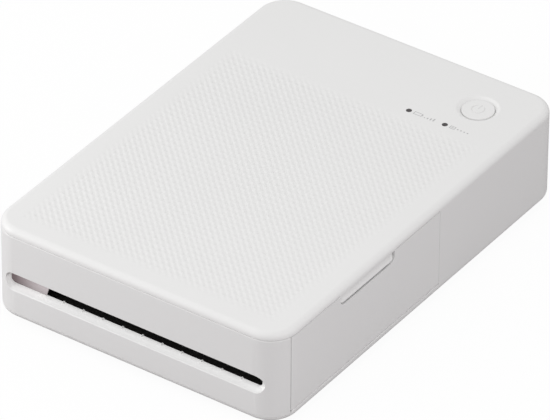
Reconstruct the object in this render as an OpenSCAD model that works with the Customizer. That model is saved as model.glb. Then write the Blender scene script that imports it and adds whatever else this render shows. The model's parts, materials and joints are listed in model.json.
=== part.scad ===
// Compact dye-sublimation photo printer with a side door for its paper and ribbon.
// Origin: centre of the footprint on the surface it stands on. +X right, -Y front, +Z up.

/* [Case] */
// Width of the case
body_w = 102.2; // [100:0.1:110]
// Length of the case, front to back
body_l = 145.8; // [144:0.1:156]
// Height over the feet
body_h = 32.9; // [32.5:0.1:36]
// Radius of the upright corners
corner_r = 9.1; // [7:0.1:11]
// Radius of the top edge
top_edge_r = 2.1; // [1.2:0.1:2.3]
// Radius of the bottom edge
bottom_edge_r = 2.0; // [1:0.1:2.4]
// Thickness of the case walls
wall = 2.0; // [1.8:0.1:2.2]
// Thickness of the floor
floor_t = 1.8; // [1.6:0.1:2]
// Gap at each seam
seam_gap = 0.15; // [0.1:0.01:0.2]
// Depth of the upper seam below the top
top_seam = 2.4; // [2.2:0.1:2.6]
// How far the front panel wraps along the sides
wrap_l = 6.55; // [6:0.05:7]

/* [Feet] */
// Height of the feet below the case
foot_h = 1.7; // [1.2:0.1:2]
// Radius of a foot
foot_r = 4.0; // [3:0.1:5]
// Distance of a foot from the corner of the case, along each side
foot_inset = 12.0; // [10:0.5:14]
// How deep a foot sits in its recess
foot_seat = 0.6; // [0.4:0.1:0.8]

/* [Cassette door] */
// Length of the door
door_l = 75.05; // [74.6:0.05:77]
// Thickness of the door
door_t = 1.8; // [1.6:0.1:1.9]
// Height of the sill under the door, above the floor
sill_h = 1.0; // [0.8:0.1:1.4]
// Radius of the door's rolled lower edge about the hinge axis
hinge_r = 1.4; // [1.3:0.05:1.5]
// Radius of a hinge pin
pin_r = 0.4; // [0.3:0.05:0.45]
// Clearance of a pin in its arm
pin_gap = 0.05; // [0.03:0.01:0.08]
// Clearance around a hinge arm
arm_gap = 0.2; // [0.15:0.05:0.3]
// Start of the finger notch, behind the front of the door
notch_start = 24.05; // [22:0.05:26]
// Length of the finger notch
notch_l = 27.0; // [24:0.5:30]
// Depth of the finger notch below the upper seam
notch_d = 3.25; // [2.8:0.05:3.6]
// Radius of the notch's lower corners
notch_r = 2.3; // [1.5:0.1:2.5]

/* [Exit slot] */
// Depth of the slot's lower edge below the paper path
slot_drop = 3.6; // [3.4:0.1:4]
// Height of the slot
slot_h = 5.5; // [5.2:0.1:5.8]
// Distance of the slot's left end from the left side
slot_left = 6.1; // [5.6:0.1:7]
// Distance of the slot's right end from the right side
slot_right = 4.7; // [4.4:0.1:6]
// Depth of the ledge in the slot
ledge_d = 3.2; // [3:0.1:3.6]
// Room beside the sheet in the opening that it leaves through
mouth_side = 2.2; // [1.5:0.1:2.5]
// Height of the opening that the sheet leaves through
mouth_h = 5.0; // [4.8:0.1:5.2]
// Number of ribs on the ledge
rib_n = 10; // [6:1:12]
// Spacing of the ribs
rib_pitch = 6.98; // [5:0.01:7.2]
// Height of a rib
rib_h = 0.35; // [0.2:0.05:0.4]

/* [Button and lights] */
// Distance of the button's centre from the right side
button_from_right = 18.3; // [17:0.1:20]
// Distance of the button's centre from the back
button_from_back = 17.0; // [16:0.1:18]
// Radius of the button's cap
button_r = 5.27; // [4.8:0.01:5.6]
// Gap around the cap
button_gap = 0.15; // [0.1:0.01:0.2]
// How deep the cap lies below the top
button_sink = 0.5; // [0.4:0.05:0.6]
// Radius of the dish around the button
dish_r = 6.25; // [6.1:0.05:6.6]
// Travel of the button
button_travel = 0.4; // [0.2:0.05:0.4]
// Radius of a light window
light_r = 0.92; // [0.8:0.01:1.1]
// Distance of the lights from the back
light_from_back = 29.7; // [29:0.1:30.5]
// Distance of the first light from the right side
light_a_from_right = 34.3; // [33:0.1:35]
// Distance of the second light from the right side
light_b_from_right = 21.6; // [21:0.1:23]

/* [Paper path] */
// Width of the bay for the drive, left of the sheet
drive_bay = 20.1; // [20:0.1:21]
// Width of the bay for the door, right of the sheet
door_bay = 10.1; // [10:0.1:11]
// Length of a sheet
sheet_l = 68.0; // [66:0.1:68.4]
// Height of the stack of sheets
stack_h = 2.6; // [1.5:0.1:2.7]
// How far the rollers reach past the sheet at each side
roller_over = 0.5; // [0:0.1:0.8]
// Radius of the roller shafts
shaft_r = 1.25; // [1.2:0.05:1.4]
// Clearance of a shaft in its bush
bush_gap = 0.05; // [0.03:0.01:0.08]
// Radius of the platen and of the pickup roller
platen_r = 3.6; // [3.5:0.05:3.7]
// Radius of the capstan and of the exit roller
capstan_r = 3.0; // [2.9:0.05:3.1]
// Radius of the roller that turns the sheet round
turn_r = 7.0; // [6.8:0.1:7.2]

/* [Ribbon] */
// Radius of a ribbon lobe
lobe_r = 6.2; // [6:0.05:6.3]
// Wall of a ribbon lobe
lobe_wall = 1.0; // [0.8:0.1:1.1]
// Distance of each lobe from the head
lobe_from_head = 14.3; // [14.2:0.1:14.5]
// Radius of the ribbon wound on a spool
ribbon_r = 4.4; // [3.5:0.1:4.6]
// Thickness of the ribbon film
film_t = 0.1; // [0.08:0.01:0.12]

/* [Print head] */
// Width of the head, along the paper path
head_w = 13.0; // [11:0.5:13.5]
// Travel of the head from its lifted place
head_travel = 2.6; // [2:0.1:2.7]

/* [Gears] */
// Module of the gears
gear_m = 0.5; // [0.5:0.005:0.505]
// Width of a gear
gear_w = 2.0; // [1.5:0.1:2.2]
// Play between two teeth, at the pitch circle
backlash = 0.12; // [0.1:0.01:0.16]
// Thickness of the side plate
plate_t = 1.5; // [1.2:0.1:1.6]

/* [Electronics] */
// Thickness of the circuit board
board_t = 1.2; // [1:0.1:1.4]
// Length of the circuit board
board_l = 33.0; // [31:0.5:33.5]
// Height of the battery
battery_h = 14.5; // [12:0.5:15]
// Width of the power socket's shell
usb_w = 9.0; // [8.8:0.1:9.2]
// Height of the power socket's shell
usb_h = 3.2; // [3:0.1:3.4]

/* [Hidden] */
$fn = 48;

// Planes of the case.
front_y = -body_l / 2;
back_y = body_l / 2;
right_x = body_w / 2;
left_x = -body_w / 2;
floor_z = foot_h + floor_t;
ceiling_z = body_h - wall;
top_seam_z = body_h - top_seam;
split_y = front_y + wrap_l;
door_end_y = split_y + door_l;
door_z0 = floor_z + sill_h + seam_gap;
hinge_x = right_x - hinge_r;
hinge_z = door_z0 + hinge_r;
notch_y0 = split_y + notch_start;
notch_y1 = notch_y0 + notch_l;
notch_z = top_seam_z - notch_d;
eps = 0.01;
far = 300;

// A slab with round upright corners and rolled top and bottom edges.
module edge_section(w, h, rt, rb) {
    translate([-w / 2, rb]) square([w, h - rt - rb]);
    translate([-w / 2 + rb, 0]) square([w - 2 * rb, rb]);
    translate([-w / 2 + rt, h - rt]) square([w - 2 * rt, rt]);
    for (side = [-1, 1]) {
        translate([side * (w / 2 - rt), h - rt]) circle(rt);
        translate([side * (w / 2 - rb), rb]) circle(rb);
    }
}

module corner_section(r, h, rt, rb) {
    intersection() {
        edge_section(2 * r, h, rt, rb);
        square([r, h]);
    }
}

module case_block() {
    h = body_h - foot_h;
    cx = body_w / 2 - corner_r;
    cy = body_l / 2 - corner_r;
    translate([0, 0, foot_h]) {
        for (turn = [0 : 3])
            translate([(turn == 0 || turn == 3 ? 1 : -1) * cx, (turn < 2 ? 1 : -1) * cy, 0])
                rotate([0, 0, 90 * turn])
                    rotate_extrude(angle = 90) corner_section(corner_r, h, top_edge_r, bottom_edge_r);
        rotate([90, 0, 0])
            linear_extrude(2 * cy, center = true)
                edge_section(body_w, h, top_edge_r, bottom_edge_r);
        rotate([90, 0, 90])
            linear_extrude(2 * cx, center = true)
                edge_section(body_l, h, top_edge_r, bottom_edge_r);
    }
}

// An upright block with round corners, inset from the outside of the case.
module inset_block(inset, z0, z1) {
    r = corner_r - inset;
    cx = body_w / 2 - corner_r;
    cy = body_l / 2 - corner_r;
    translate([0, 0, z0])
        linear_extrude(z1 - z0) {
            square([2 * cx, 2 * (cy + r)], center = true);
            square([2 * (cx + r), 2 * cy], center = true);
            for (sx = [-1, 1], sy = [-1, 1]) translate([sx * cx, sy * cy]) circle(r);
        }
}

module box(x0, x1, y0, y1, z0, z1) {
    translate([x0, y0, z0]) cube([x1 - x0, y1 - y0, z1 - z0]);
}

// A rod along X between two places.
module rod_x(x0, x1, at, r) {
    translate([x0, at[0], at[1]]) rotate([0, 90, 0]) cylinder(h = x1 - x0, r = r);
}

module rod_y(x, z, y0, y1, r) {
    translate([x, y1, z]) rotate([90, 0, 0]) cylinder(h = y1 - y0, r = r);
}

// Planes along X, from the sheet outwards.
sheet_x0 = left_x + drive_bay;
sheet_x1 = right_x - door_bay;
paper_x = (sheet_x0 + sheet_x1) / 2;
roller_x0 = sheet_x0 - roller_over;
roller_x1 = sheet_x1 + roller_over;
film_inset = 0.5;
film_x0 = sheet_x0 + film_inset;
film_x1 = sheet_x1 - film_inset;
mouth_x0 = sheet_x0 - mouth_side;
mouth_x1 = sheet_x1 + mouth_side;
plate_from_sheet = 9.5;
plate_x1 = sheet_x0 - plate_from_sheet;
plate_x0 = plate_x1 - plate_t;
rail_from_sheet = 2.5;
rail_x0 = sheet_x1 + rail_from_sheet;
rail_x1 = rail_x0 + plate_t;
gear_gap = 0.6;
gear_x1 = plate_x0 - gear_gap;
gear_x0 = gear_x1 - gear_w;
outer_gear_x1 = gear_x0 - gear_gap;
outer_gear_x0 = outer_gear_x1 - gear_w;
shaft_end = 0.3;
shaft_x0 = gear_x0 - shaft_end;
shaft_x1 = rail_x1 + 2 * shaft_end;
lobe_left = 3.5;
lobe_right = 5.5;
lobe_x0 = sheet_x0 - lobe_left;
lobe_x1 = sheet_x1 + lobe_right;

// The ribbon's lobes hang under the ceiling, and the paper path runs below them.
lobe_room = 1.9;
lobe_z = ceiling_z - lobe_room - lobe_r;
lobe_lift = 1.0;
path_z = lobe_z - lobe_r - lobe_lift;

// The tray stands on runners, and the sheets lie in it.
tray_lift = 0.4;
tray_z0 = floor_z + tray_lift;
tray_floor = 1.0;
stack_z0 = tray_z0 + tray_floor;
stack_z1 = stack_z0 + stack_h;
tray_over = 0.5;
tray_z1 = stack_z1 + tray_over;
pickup_gap = 0.4;

// The curved chute round the turn roller.
chute_gap = 0.8;
chute_t = 1.2;
chute_lift = 2.7;

// Places of the rollers along the path, each behind the one before.
exit_from_front = 12.9;
platen_behind_exit = 35.5;
pickup_behind_platen = 16.5;
capstan_behind_pickup = 11.0;
turn_behind_capstan = 23.0;
exit_y = front_y + exit_from_front;
platen_y = exit_y + platen_behind_exit;
pickup_y = platen_y + pickup_behind_platen;
capstan_y = pickup_y + capstan_behind_pickup;
turn_y = capstan_y + turn_behind_capstan;

// Places of the mechanism, as [y, z].
exit_at = [exit_y, path_z - capstan_r];
platen_at = [platen_y, path_z - platen_r];
pickup_at = [pickup_y, stack_z1 + pickup_gap + platen_r];
capstan_at = [capstan_y, path_z - capstan_r];
turn_at = [turn_y, floor_z + chute_lift + chute_t + chute_gap + turn_r];
pinch_r = 2.0;
pinch_axle_r = 1.0;
pinch_gap = 0.35;
pinch_at = [capstan_y, path_z + pinch_gap + pinch_r];
take_up_at = [platen_y - lobe_from_head, lobe_z];
supply_at = [platen_y + lobe_from_head, lobe_z];
film_lift = 0.4;
film_z = path_z + film_lift;
head_gap = 0.3;
head_z = film_z + film_t + head_gap + head_travel;
slot_z = path_z - slot_drop;
slot_x0 = left_x + slot_left;
slot_x1 = right_x - slot_right;

// Numbers of teeth.
capstan_teeth = 20;
feed_idler_teeth = 12;
pickup_teeth = 16;
middle_idler_teeth = 20;
platen_teeth = 16;
print_idler_teeth = 20;
take_up_teeth = 20;
exit_idler_teeth = 30;
exit_teeth = 16;
turn_idler_teeth = 28;
turn_teeth = 20;
reduction_small_teeth = 12;
reduction_large_teeth = 36;
motor_teeth = 10;

function pitch_r(teeth) = gear_m * teeth / 2;
function span(a, b) = pitch_r(a) + pitch_r(b);

// The point at distance ra from a and rb from b, on one side of the line between them.
function meet(a, ra, b, rb, side) =
    let (d = norm(b - a), u = (b - a) / d, x = (ra * ra - rb * rb + d * d) / (2 * d))
    a + u * x + [-u[1], u[0]] * side * sqrt(ra * ra - x * x);

function beside(a, r, angle) = a + r * [cos(angle), sin(angle)];
function bearing(a, b) = atan2(b[1] - a[1], b[0] - a[0]);

feed_idler_at = meet(capstan_at, span(capstan_teeth, feed_idler_teeth),
                     pickup_at, span(feed_idler_teeth, pickup_teeth), -1);
middle_idler_at = meet(pickup_at, span(pickup_teeth, middle_idler_teeth),
                       platen_at, span(middle_idler_teeth, platen_teeth), -1);
print_idler_at = meet(platen_at, span(platen_teeth, print_idler_teeth),
                      take_up_at, span(print_idler_teeth, take_up_teeth), 1);
exit_idler_at = meet(take_up_at, span(take_up_teeth, exit_idler_teeth),
                     exit_at, span(exit_idler_teeth, exit_teeth), -1);
turn_idler_at = meet(capstan_at, span(capstan_teeth, turn_idler_teeth),
                     turn_at, span(turn_idler_teeth, turn_teeth), 1);
reduction_bearing = 40;
motor_bearing = -5;
reduction_at = beside(turn_at, span(turn_teeth, reduction_small_teeth), reduction_bearing);
motor_at = beside(reduction_at, span(reduction_large_teeth, motor_teeth), motor_bearing);

// The turn that sets a gear in mesh with its neighbour, whose own turn is given.
function mesh_turn(a, a_teeth, a_turn, b, b_teeth) =
    let (phi = bearing(a, b)) phi + 180 - (a_turn - phi) * a_teeth / b_teeth - 180 / b_teeth;

capstan_turn = 0;
feed_idler_turn = mesh_turn(capstan_at, capstan_teeth, capstan_turn, feed_idler_at, feed_idler_teeth);
pickup_turn = mesh_turn(feed_idler_at, feed_idler_teeth, feed_idler_turn, pickup_at, pickup_teeth);
middle_idler_turn = mesh_turn(pickup_at, pickup_teeth, pickup_turn, middle_idler_at, middle_idler_teeth);
platen_turn = mesh_turn(middle_idler_at, middle_idler_teeth, middle_idler_turn, platen_at, platen_teeth);
print_idler_turn = mesh_turn(platen_at, platen_teeth, platen_turn, print_idler_at, print_idler_teeth);
take_up_turn = mesh_turn(print_idler_at, print_idler_teeth, print_idler_turn, take_up_at, take_up_teeth);
exit_idler_turn = mesh_turn(take_up_at, take_up_teeth, take_up_turn, exit_idler_at, exit_idler_teeth);
exit_turn = mesh_turn(exit_idler_at, exit_idler_teeth, exit_idler_turn, exit_at, exit_teeth);
turn_idler_turn = mesh_turn(capstan_at, capstan_teeth, capstan_turn, turn_idler_at, turn_idler_teeth);
turn_turn = mesh_turn(turn_idler_at, turn_idler_teeth, turn_idler_turn, turn_at, turn_teeth);
reduction_turn = mesh_turn(turn_at, turn_teeth, turn_turn, reduction_at, reduction_small_teeth);
motor_turn = mesh_turn(reduction_at, reduction_large_teeth, reduction_turn, motor_at, motor_teeth);

// Involute teeth with straight chords between a few radii of each flank.
pressure_angle = 20;
tooth_root = 1.2;
tooth_tip = 0.9;
function roll(base_r, r) = sqrt(max(0, pow(r / base_r, 2) - 1)) * 180 / PI - acos(min(1, base_r / r));

function tooth(teeth, turn) =
    let (
        p = pitch_r(teeth),
        base_r = p * cos(pressure_angle),
        root_r = p - tooth_root * gear_m,
        tip_r = p + tooth_tip * gear_m,
        half = 90 / teeth - backlash / p * 90 / PI,
        flank_r = max(base_r, root_r),
        radii = [flank_r, (flank_r + p) / 2, p, (p + tip_r) / 2, tip_r],
        width = [for (r = radii) half + roll(base_r, p) - roll(base_r, r)]
    )
    concat(
        [root_r * [cos(turn - width[0]), sin(turn - width[0])]],
        [for (i = [0 : 4]) radii[i] * [cos(turn - width[i]), sin(turn - width[i])]],
        [for (i = [4 : -1 : 0]) radii[i] * [cos(turn + width[i]), sin(turn + width[i])]],
        [root_r * [cos(turn + width[0]), sin(turn + width[0])]]
    );

module gear(at, teeth, turn, x0, w, bore) {
    translate([x0, at[0], at[1]])
        rotate([90, 0, 90])
            linear_extrude(w)
                difference() {
                    polygon([for (k = [0 : teeth - 1]) each tooth(teeth, turn + 360 * k / teeth)]);
                    circle(bore);
                }
}

// Idler gear that runs on a stud.
stud_r = 1.0;
stud_gap = 0.05;
module idler(at, teeth, turn) {
    gear(at, teeth, turn, gear_x0, gear_w, stud_r + stud_gap);
}

// Screw posts and bosses, as [x, y].
post_r = 1.8;
post_joint_h = 6.5;
post_joint_z = floor_z + post_joint_h;
screw_r = 0.9;
screw_gap = 0.1;
screw_head_r = 1.7;
screw_head_h = 0.9;
front_post_y = front_y + 5.7;
door_post_y = front_y + 6.9;
front_post_left = 6.6;
front_post_right = 4.9;
rear_post_inset = [7.1, 8.4];
posts = [
    [left_x + front_post_left, front_post_y],
    [right_x - front_post_right, door_post_y],
    [left_x + rear_post_inset[0], back_y - rear_post_inset[1]],
    [right_x - rear_post_inset[0], back_y - rear_post_inset[1]]
];

// The motor, whose end the battery and the board stand clear of.
motor_r = 7.0;
motor_l = 19.0;
motor_boss_r = 2.6;
motor_cap_r = 2.4;
motor_cap_l = 1.2;
motor_x1 = plate_x1 + motor_l + motor_cap_l;

// The circuit board and what stands on it.
board_motor_gap = 4.4;
board_side_gap = 3.0;
board_back_gap = 1.5;
board_x0 = motor_x1 + board_motor_gap;
board_x1 = right_x - wall - board_side_gap;
board_y1 = back_y - wall - board_back_gap;
board_y0 = board_y1 - board_l;
boss_h = 3.7;
boss_inset = 3.0;
corner_boss_inset = 9.0;
board_z1 = ceiling_z - boss_h;
board_z0 = board_z1 - board_t;
board_bosses = [
    [board_x0 + boss_inset, board_y0 + boss_inset], [board_x0 + boss_inset, board_y1 - boss_inset],
    [board_x1 - boss_inset, board_y0 + boss_inset], [board_x1 - corner_boss_inset, board_y1 - boss_inset]
];
button_at = [right_x - button_from_right, back_y - button_from_back];
button_z1 = body_h - button_sink;
light_y = back_y - light_from_back;
lights = [[right_x - light_a_from_right, light_y], [right_x - light_b_from_right, light_y]];
usb_from_board = 12.0;
usb_x = board_x0 + usb_from_board;
usb_z = board_z0 - usb_h / 2;
usb_gap = 0.3;

module stadium(w, h) {
    for (side = [-1, 1]) translate([side * (w - h) / 2, 0]) circle(h / 2);
    square([w - h, h], center = true);
}

// A stadium between two places along X, cut along Y.
module stadium_y(x0, x1, z0, z1, y0, y1) {
    translate([(x0 + x1) / 2, y1, (z0 + z1) / 2])
        rotate([90, 0, 0])
            linear_extrude(y1 - y0) stadium(x1 - x0, z1 - z0);
}

// The scooped wall that closes the finger notch behind the door.
scoop_r = 4.74;
scoop_top = 0.35;
scoop_depth = 0.8;
fill_gap = 0.5;
fill_back = 3.1;
fill_inset = 0.15;
module notch_fill() {
    r = notch_r - fill_gap;
    difference() {
        translate([right_x - fill_back, 0, 0])
            rotate([90, 0, 90])
                linear_extrude(fill_back - fill_inset) {
                    translate([notch_y0 + fill_gap + r, notch_z + fill_gap])
                        square([notch_l - 2 * fill_gap - 2 * r, notch_d]);
                    translate([notch_y0 + fill_gap, notch_z + fill_gap + r])
                        square([notch_l - 2 * fill_gap, notch_d - r]);
                    for (y = [notch_y0 + fill_gap + r, notch_y1 - fill_gap - r])
                        translate([y, notch_z + fill_gap + r]) circle(r);
                }
        rod_y(right_x - scoop_depth + scoop_r, top_seam_z - scoop_top, front_y, back_y, scoop_r);
        box(right_x - far, right_x + far, front_y, back_y, ceiling_z + eps, body_h + far);
    }
}

// Latch tabs at the top of the door, and the catches behind them.
latch_from_end = 7.0;
latch_places = [split_y + latch_from_end, door_end_y - latch_from_end];
latch_w = 6;
latch_reach = 1.5;
latch_gap = 0.2;
latch_h = 2.0;
latch_drop = 3.0;
latch_z0 = top_seam_z - latch_drop;
catch_t = 1.4;
catch_lift = 0.6;
pilot_h = 6.0;
boss_web = 0.5;

module upper_case() {
    color("whitesmoke") {
        difference() {
            case_block();
            inset_block(wall, floor_z, ceiling_z);
            box(left_x - 1, right_x + 1, front_y - 1, back_y + 1, 0, floor_z + seam_gap);
            box(left_x - 1, right_x + 1, front_y - 1, split_y + seam_gap, 0, top_seam_z);
            box(right_x - wall - 1, right_x + 1, split_y, door_end_y, 0, top_seam_z);
            translate([button_at[0], button_at[1], button_z1])
                cylinder(h = button_sink + eps, r1 = button_r + button_gap, r2 = dish_r);
            translate([button_at[0], button_at[1], ceiling_z - 1])
                cylinder(h = wall + 1, r = button_r + button_gap);
            for (p = lights)
                translate([p[0], p[1], ceiling_z - 1]) cylinder(h = wall + 2, r = light_r);
            stadium_y(usb_x - usb_w / 2 - usb_gap, usb_x + usb_w / 2 + usb_gap,
                      usb_z - usb_h / 2 - usb_gap, usb_z + usb_h / 2 + usb_gap,
                      back_y - wall - 1, back_y + 1);
        }
        notch_fill();
        for (p = posts)
            translate([p[0], p[1], post_joint_z])
                difference() {
                    cylinder(h = ceiling_z - post_joint_z, r = post_r);
                    cylinder(h = pilot_h, r = screw_r);
                }
        for (y = latch_places)
            box(right_x - wall - latch_reach - latch_gap - catch_t, right_x - wall - latch_reach - latch_gap,
                y - latch_w / 2, y + latch_w / 2, latch_z0 + catch_lift, ceiling_z + eps);
        for (p = board_bosses)
            translate([p[0], p[1], board_z1])
                difference() {
                    cylinder(h = boss_h, r = post_r);
                    cylinder(h = boss_h - boss_web, r = screw_r);
                }
    }
}

// Hinge arms that carry the door, one near each end.
arm_w = 3.0;
arm_t = 1.5;
arm_r = 0.75;
arm_reach = 2.9;
arm_from_end = 10.0;
arm_places = [split_y + arm_from_end, door_end_y - arm_from_end];
module hinge_arm(y) {
    difference() {
        union() {
            rod_y(hinge_x, hinge_z, y - arm_w / 2, y + arm_w / 2, arm_r);
            box(hinge_x - arm_reach, hinge_x, y - arm_w / 2, y + arm_w / 2, hinge_z - arm_r, hinge_z + arm_r);
            box(hinge_x - arm_reach, hinge_x - arm_reach + arm_t, y - arm_w / 2, y + arm_w / 2,
                floor_z - eps, hinge_z + arm_r);
        }
        rod_y(hinge_x, hinge_z, y - arm_w, y + arm_w, pin_r + pin_gap);
    }
}

rim_t = 0.8;
rim_h = 1.4;
rim_gap = 0.1;
rim_door_gap = 4.0;
rim_end_x = right_x - 9.0;
runner_w = 2.0;
runner_places = [12.0, 55.0];
foot_gap = 0.05;
screw_well = 1.2;
label_w = 34.0;
label_l = 22.0;
label_d = 0.3;
label_gap = 0.1;
label_at = [-8, 6];
module label_block(over, z0) {
    box(label_at[0] - label_w / 2 - over, label_at[0] + label_w / 2 + over,
        label_at[1] - label_l / 2 - over, label_at[1] + label_l / 2 + over, z0, foot_h + label_d);
}

module bottom_case() {
    color("whitesmoke") {
        difference() {
            union() {
                intersection() {
                    case_block();
                    union() {
                        box(left_x - 1, right_x + 1, front_y - 1, back_y + 1, 0, floor_z);
                        box(right_x - wall, right_x + 1, split_y + seam_gap, door_end_y - seam_gap,
                            floor_z - eps, floor_z + sill_h);
                    }
                }
                difference() {
                    inset_block(wall + rim_gap, floor_z - eps, floor_z + rim_h);
                    inset_block(wall + rim_gap + rim_t, floor_z - 1, floor_z + rim_h + 1);
                    box(rim_end_x, right_x, split_y - rim_door_gap, door_end_y + rim_door_gap, 0, far);
                }
                for (p = posts)
                    translate([p[0], p[1], floor_z - eps]) cylinder(h = post_joint_h + eps, r = post_r);
                for (y = runner_places)
                    box(sheet_x0, sheet_x1, tray_y0 + y, tray_y0 + y + runner_w, floor_z - eps, tray_z0);
            }
            for (p = posts)
                translate([p[0], p[1], foot_h - 1]) {
                    cylinder(h = 1 + screw_well, r = screw_head_r + screw_gap);
                    cylinder(h = far, r = screw_r + screw_gap);
                }
            for (sx = [-1, 1], sy = [-1, 1])
                translate([sx * (right_x - foot_inset), sy * (back_y - foot_inset), foot_h - 1])
                    cylinder(h = 1 + foot_seat, r = foot_r + foot_gap);
            label_block(label_gap, 0);
        }
        for (y = arm_places) hinge_arm(y);
    }
}

lip_inset = 1.0;
lip_over = 1.6;
lip_left = 2.5;
lip_right = 1.8;
lip_front = 0.5;
shelf_back = 0.6;
rib_l = 1.2;
module front_panel() {
    color("whitesmoke")
        difference() {
            union() {
                difference() {
                    case_block();
                    inset_block(wall, 0, far);
                    box(left_x - 1, right_x + 1, split_y - seam_gap / 2, back_y + 1, 0, far);
                    box(left_x - 1, right_x + 1, front_y - 1, back_y + 1, 0, floor_z + seam_gap);
                    box(left_x - 1, right_x + 1, front_y - 1, back_y + 1, top_seam_z - seam_gap, far);
                }
                intersection() {
                    inset_block(lip_inset, slot_z - lip_over, slot_z + slot_h + lip_over);
                    box(slot_x0 - lip_left, slot_x1 + lip_right,
                        front_y + lip_front, front_y + ledge_d, 0, far);
                }
            }
            stadium_y(slot_x0, slot_x1, slot_z, slot_z + slot_h,
                      front_y - 1, front_y + ledge_d - shelf_back);
            box(mouth_x0, mouth_x1 - mouth_h / 2,
                front_y - 1, front_y + ledge_d + 1, slot_z, slot_z + mouth_h);
            stadium_y(paper_x, mouth_x1, slot_z, slot_z + mouth_h, front_y - 1, front_y + ledge_d + 1);
        }
    color("whitesmoke")
        for (k = [0 : rib_n - 1])
            rod_y(paper_x + (k - (rib_n - 1) / 2) * rib_pitch, slot_z, front_y + ledge_d - rib_l,
                  front_y + ledge_d, rib_h);
}

guide_t = 0.6;
guide_l = 5.2;
guide_side = 0.4;
guide_over = 0.5;
module exit_guide() {
    x0 = mouth_x0 - guide_side;
    x1 = mouth_x1 + guide_side;
    y0 = front_y + ledge_d;
    z0 = slot_z - guide_over;
    z1 = slot_z + mouth_h + guide_over;
    color("#161514")
        difference() {
            box(x0 - guide_t, x1 + guide_t, y0, y0 + guide_l, z0 - guide_t, z1 + guide_t);
            box(x0, x1, y0 - 1, y0 + guide_l + 1, z0, z1);
        }
}

module rubber_feet() {
    color("dimgray")
        for (sx = [-1, 1], sy = [-1, 1])
            translate([sx * (right_x - foot_inset), sy * (back_y - foot_inset), 0])
                cylinder(h = foot_h + foot_seat, r = foot_r);
}

// A screw that points up, with a cross recess in its head below.
recess_w = 0.4;
recess_l = 2.0;
case_screw_l = 12.0;
case_screw_sink = 0.3;
module screw(at, z0, l) {
    translate([at[0], at[1], z0]) {
        difference() {
            cylinder(h = screw_head_h, r = screw_head_r);
            translate([-recess_l / 2, -recess_w / 2, -eps]) cube([recess_l, recess_w, recess_w]);
            translate([-recess_w / 2, -recess_l / 2, -eps]) cube([recess_w, recess_l, recess_w]);
        }
        translate([0, 0, screw_head_h]) cylinder(h = l, r = screw_r);
    }
}

module case_screws() {
    color("silver")
        for (p = posts) screw(p, foot_h + case_screw_sink, case_screw_l);
}

module rating_plate() {
    color("gainsboro") label_block(0, foot_h + label_gap);
}

// A shaft's hole through both plates, and the bush that lines it.
bush_r = 1.9;
bush_flange_r = 2.4;
bush_flange_t = 0.35;
roller_places = [exit_at, platen_at, pickup_at, capstan_at, turn_at];
hub_r = 2.2;
stud_places = [
    feed_idler_at, middle_idler_at, print_idler_at, exit_idler_at, turn_idler_at, reduction_at
];
bridge_t = 1.6;
bridge_drop = 0.4;
bridge_z0 = lobe_z + lobe_r - bridge_drop;
guide_pin_r = 0.9;
guide_pin_gap = 0.1;
guide_pin_lift = 4.6;
guide_pin_z = head_z + guide_pin_lift;

// The side plate and the rail on the door's side, which carry the rollers.
plate_front = 4.2;
plate_rear = 1.5;
plate_y0 = exit_y - plate_front;
plate_y1 = motor_at[0] + motor_r + plate_rear;
plate_foot_l = 6.0;
plate_foot_w = 4.5;
plate_hole = 2.2;
cassette_clear = 2.0;
ledge_back = 2.8;
ledge_t = 1.0;
rail_drop = 2.6;
rail_z0 = platen_at[1] - rail_drop;
rail_lift = 0.3;
rail_z1 = path_z + rail_lift;
rail_front = 3.6;
rail_rear = 7.0;
ear_front = 2.7;
ear_top = 2.6;
leg_behind = 7.0;
rail_leg_y = capstan_y + leg_behind;

module guide_slot(x0, x1) {
    r = guide_pin_r + guide_pin_gap;
    for (z = [guide_pin_z - head_travel - guide_pin_gap, guide_pin_z])
        rod_x(x0, x1, [platen_at[0], z], r);
    box(x0, x1, platen_at[0] - r, platen_at[0] + r, guide_pin_z - head_travel - guide_pin_gap, guide_pin_z);
}

module side_plate() {
    color("silver")
        difference() {
            union() {
                box(plate_x0, plate_x1, plate_y0, plate_y1, floor_z, bridge_z0);
                for (y = [plate_y0, plate_y1 - plate_foot_l])
                    box(plate_x0, plate_x1 + plate_foot_w, y, y + plate_foot_l, floor_z, floor_z + plate_t);
                box(plate_x0, sheet_x0 - cassette_clear, take_up_at[0] + ledge_back,
                    supply_at[0] - ledge_back, rail_z1 - ledge_t, rail_z1);
            }
            for (p = roller_places) rod_x(plate_x0 - 1, plate_x1 + 1, p, bush_r);
            rod_x(plate_x0 - 1, plate_x1 + 1, pinch_at, pinch_axle_r + bush_gap);
            rod_x(plate_x0 - 1, plate_x1 + 1, take_up_at, hub_r + bush_gap);
            rod_x(plate_x0 - 1, plate_x1 + 1, motor_at, motor_boss_r);
            for (p = stud_places) rod_x(plate_x0 - 1, plate_x1 + 1, p, stud_r);
            guide_slot(plate_x0 - 1, plate_x1 + 1);
            for (y = [plate_y0, plate_y1 - plate_foot_l])
                translate([plate_x1 + plate_hole, y + plate_foot_l / 2, 0]) cylinder(h = far, r = screw_r);
        }
}

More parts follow.
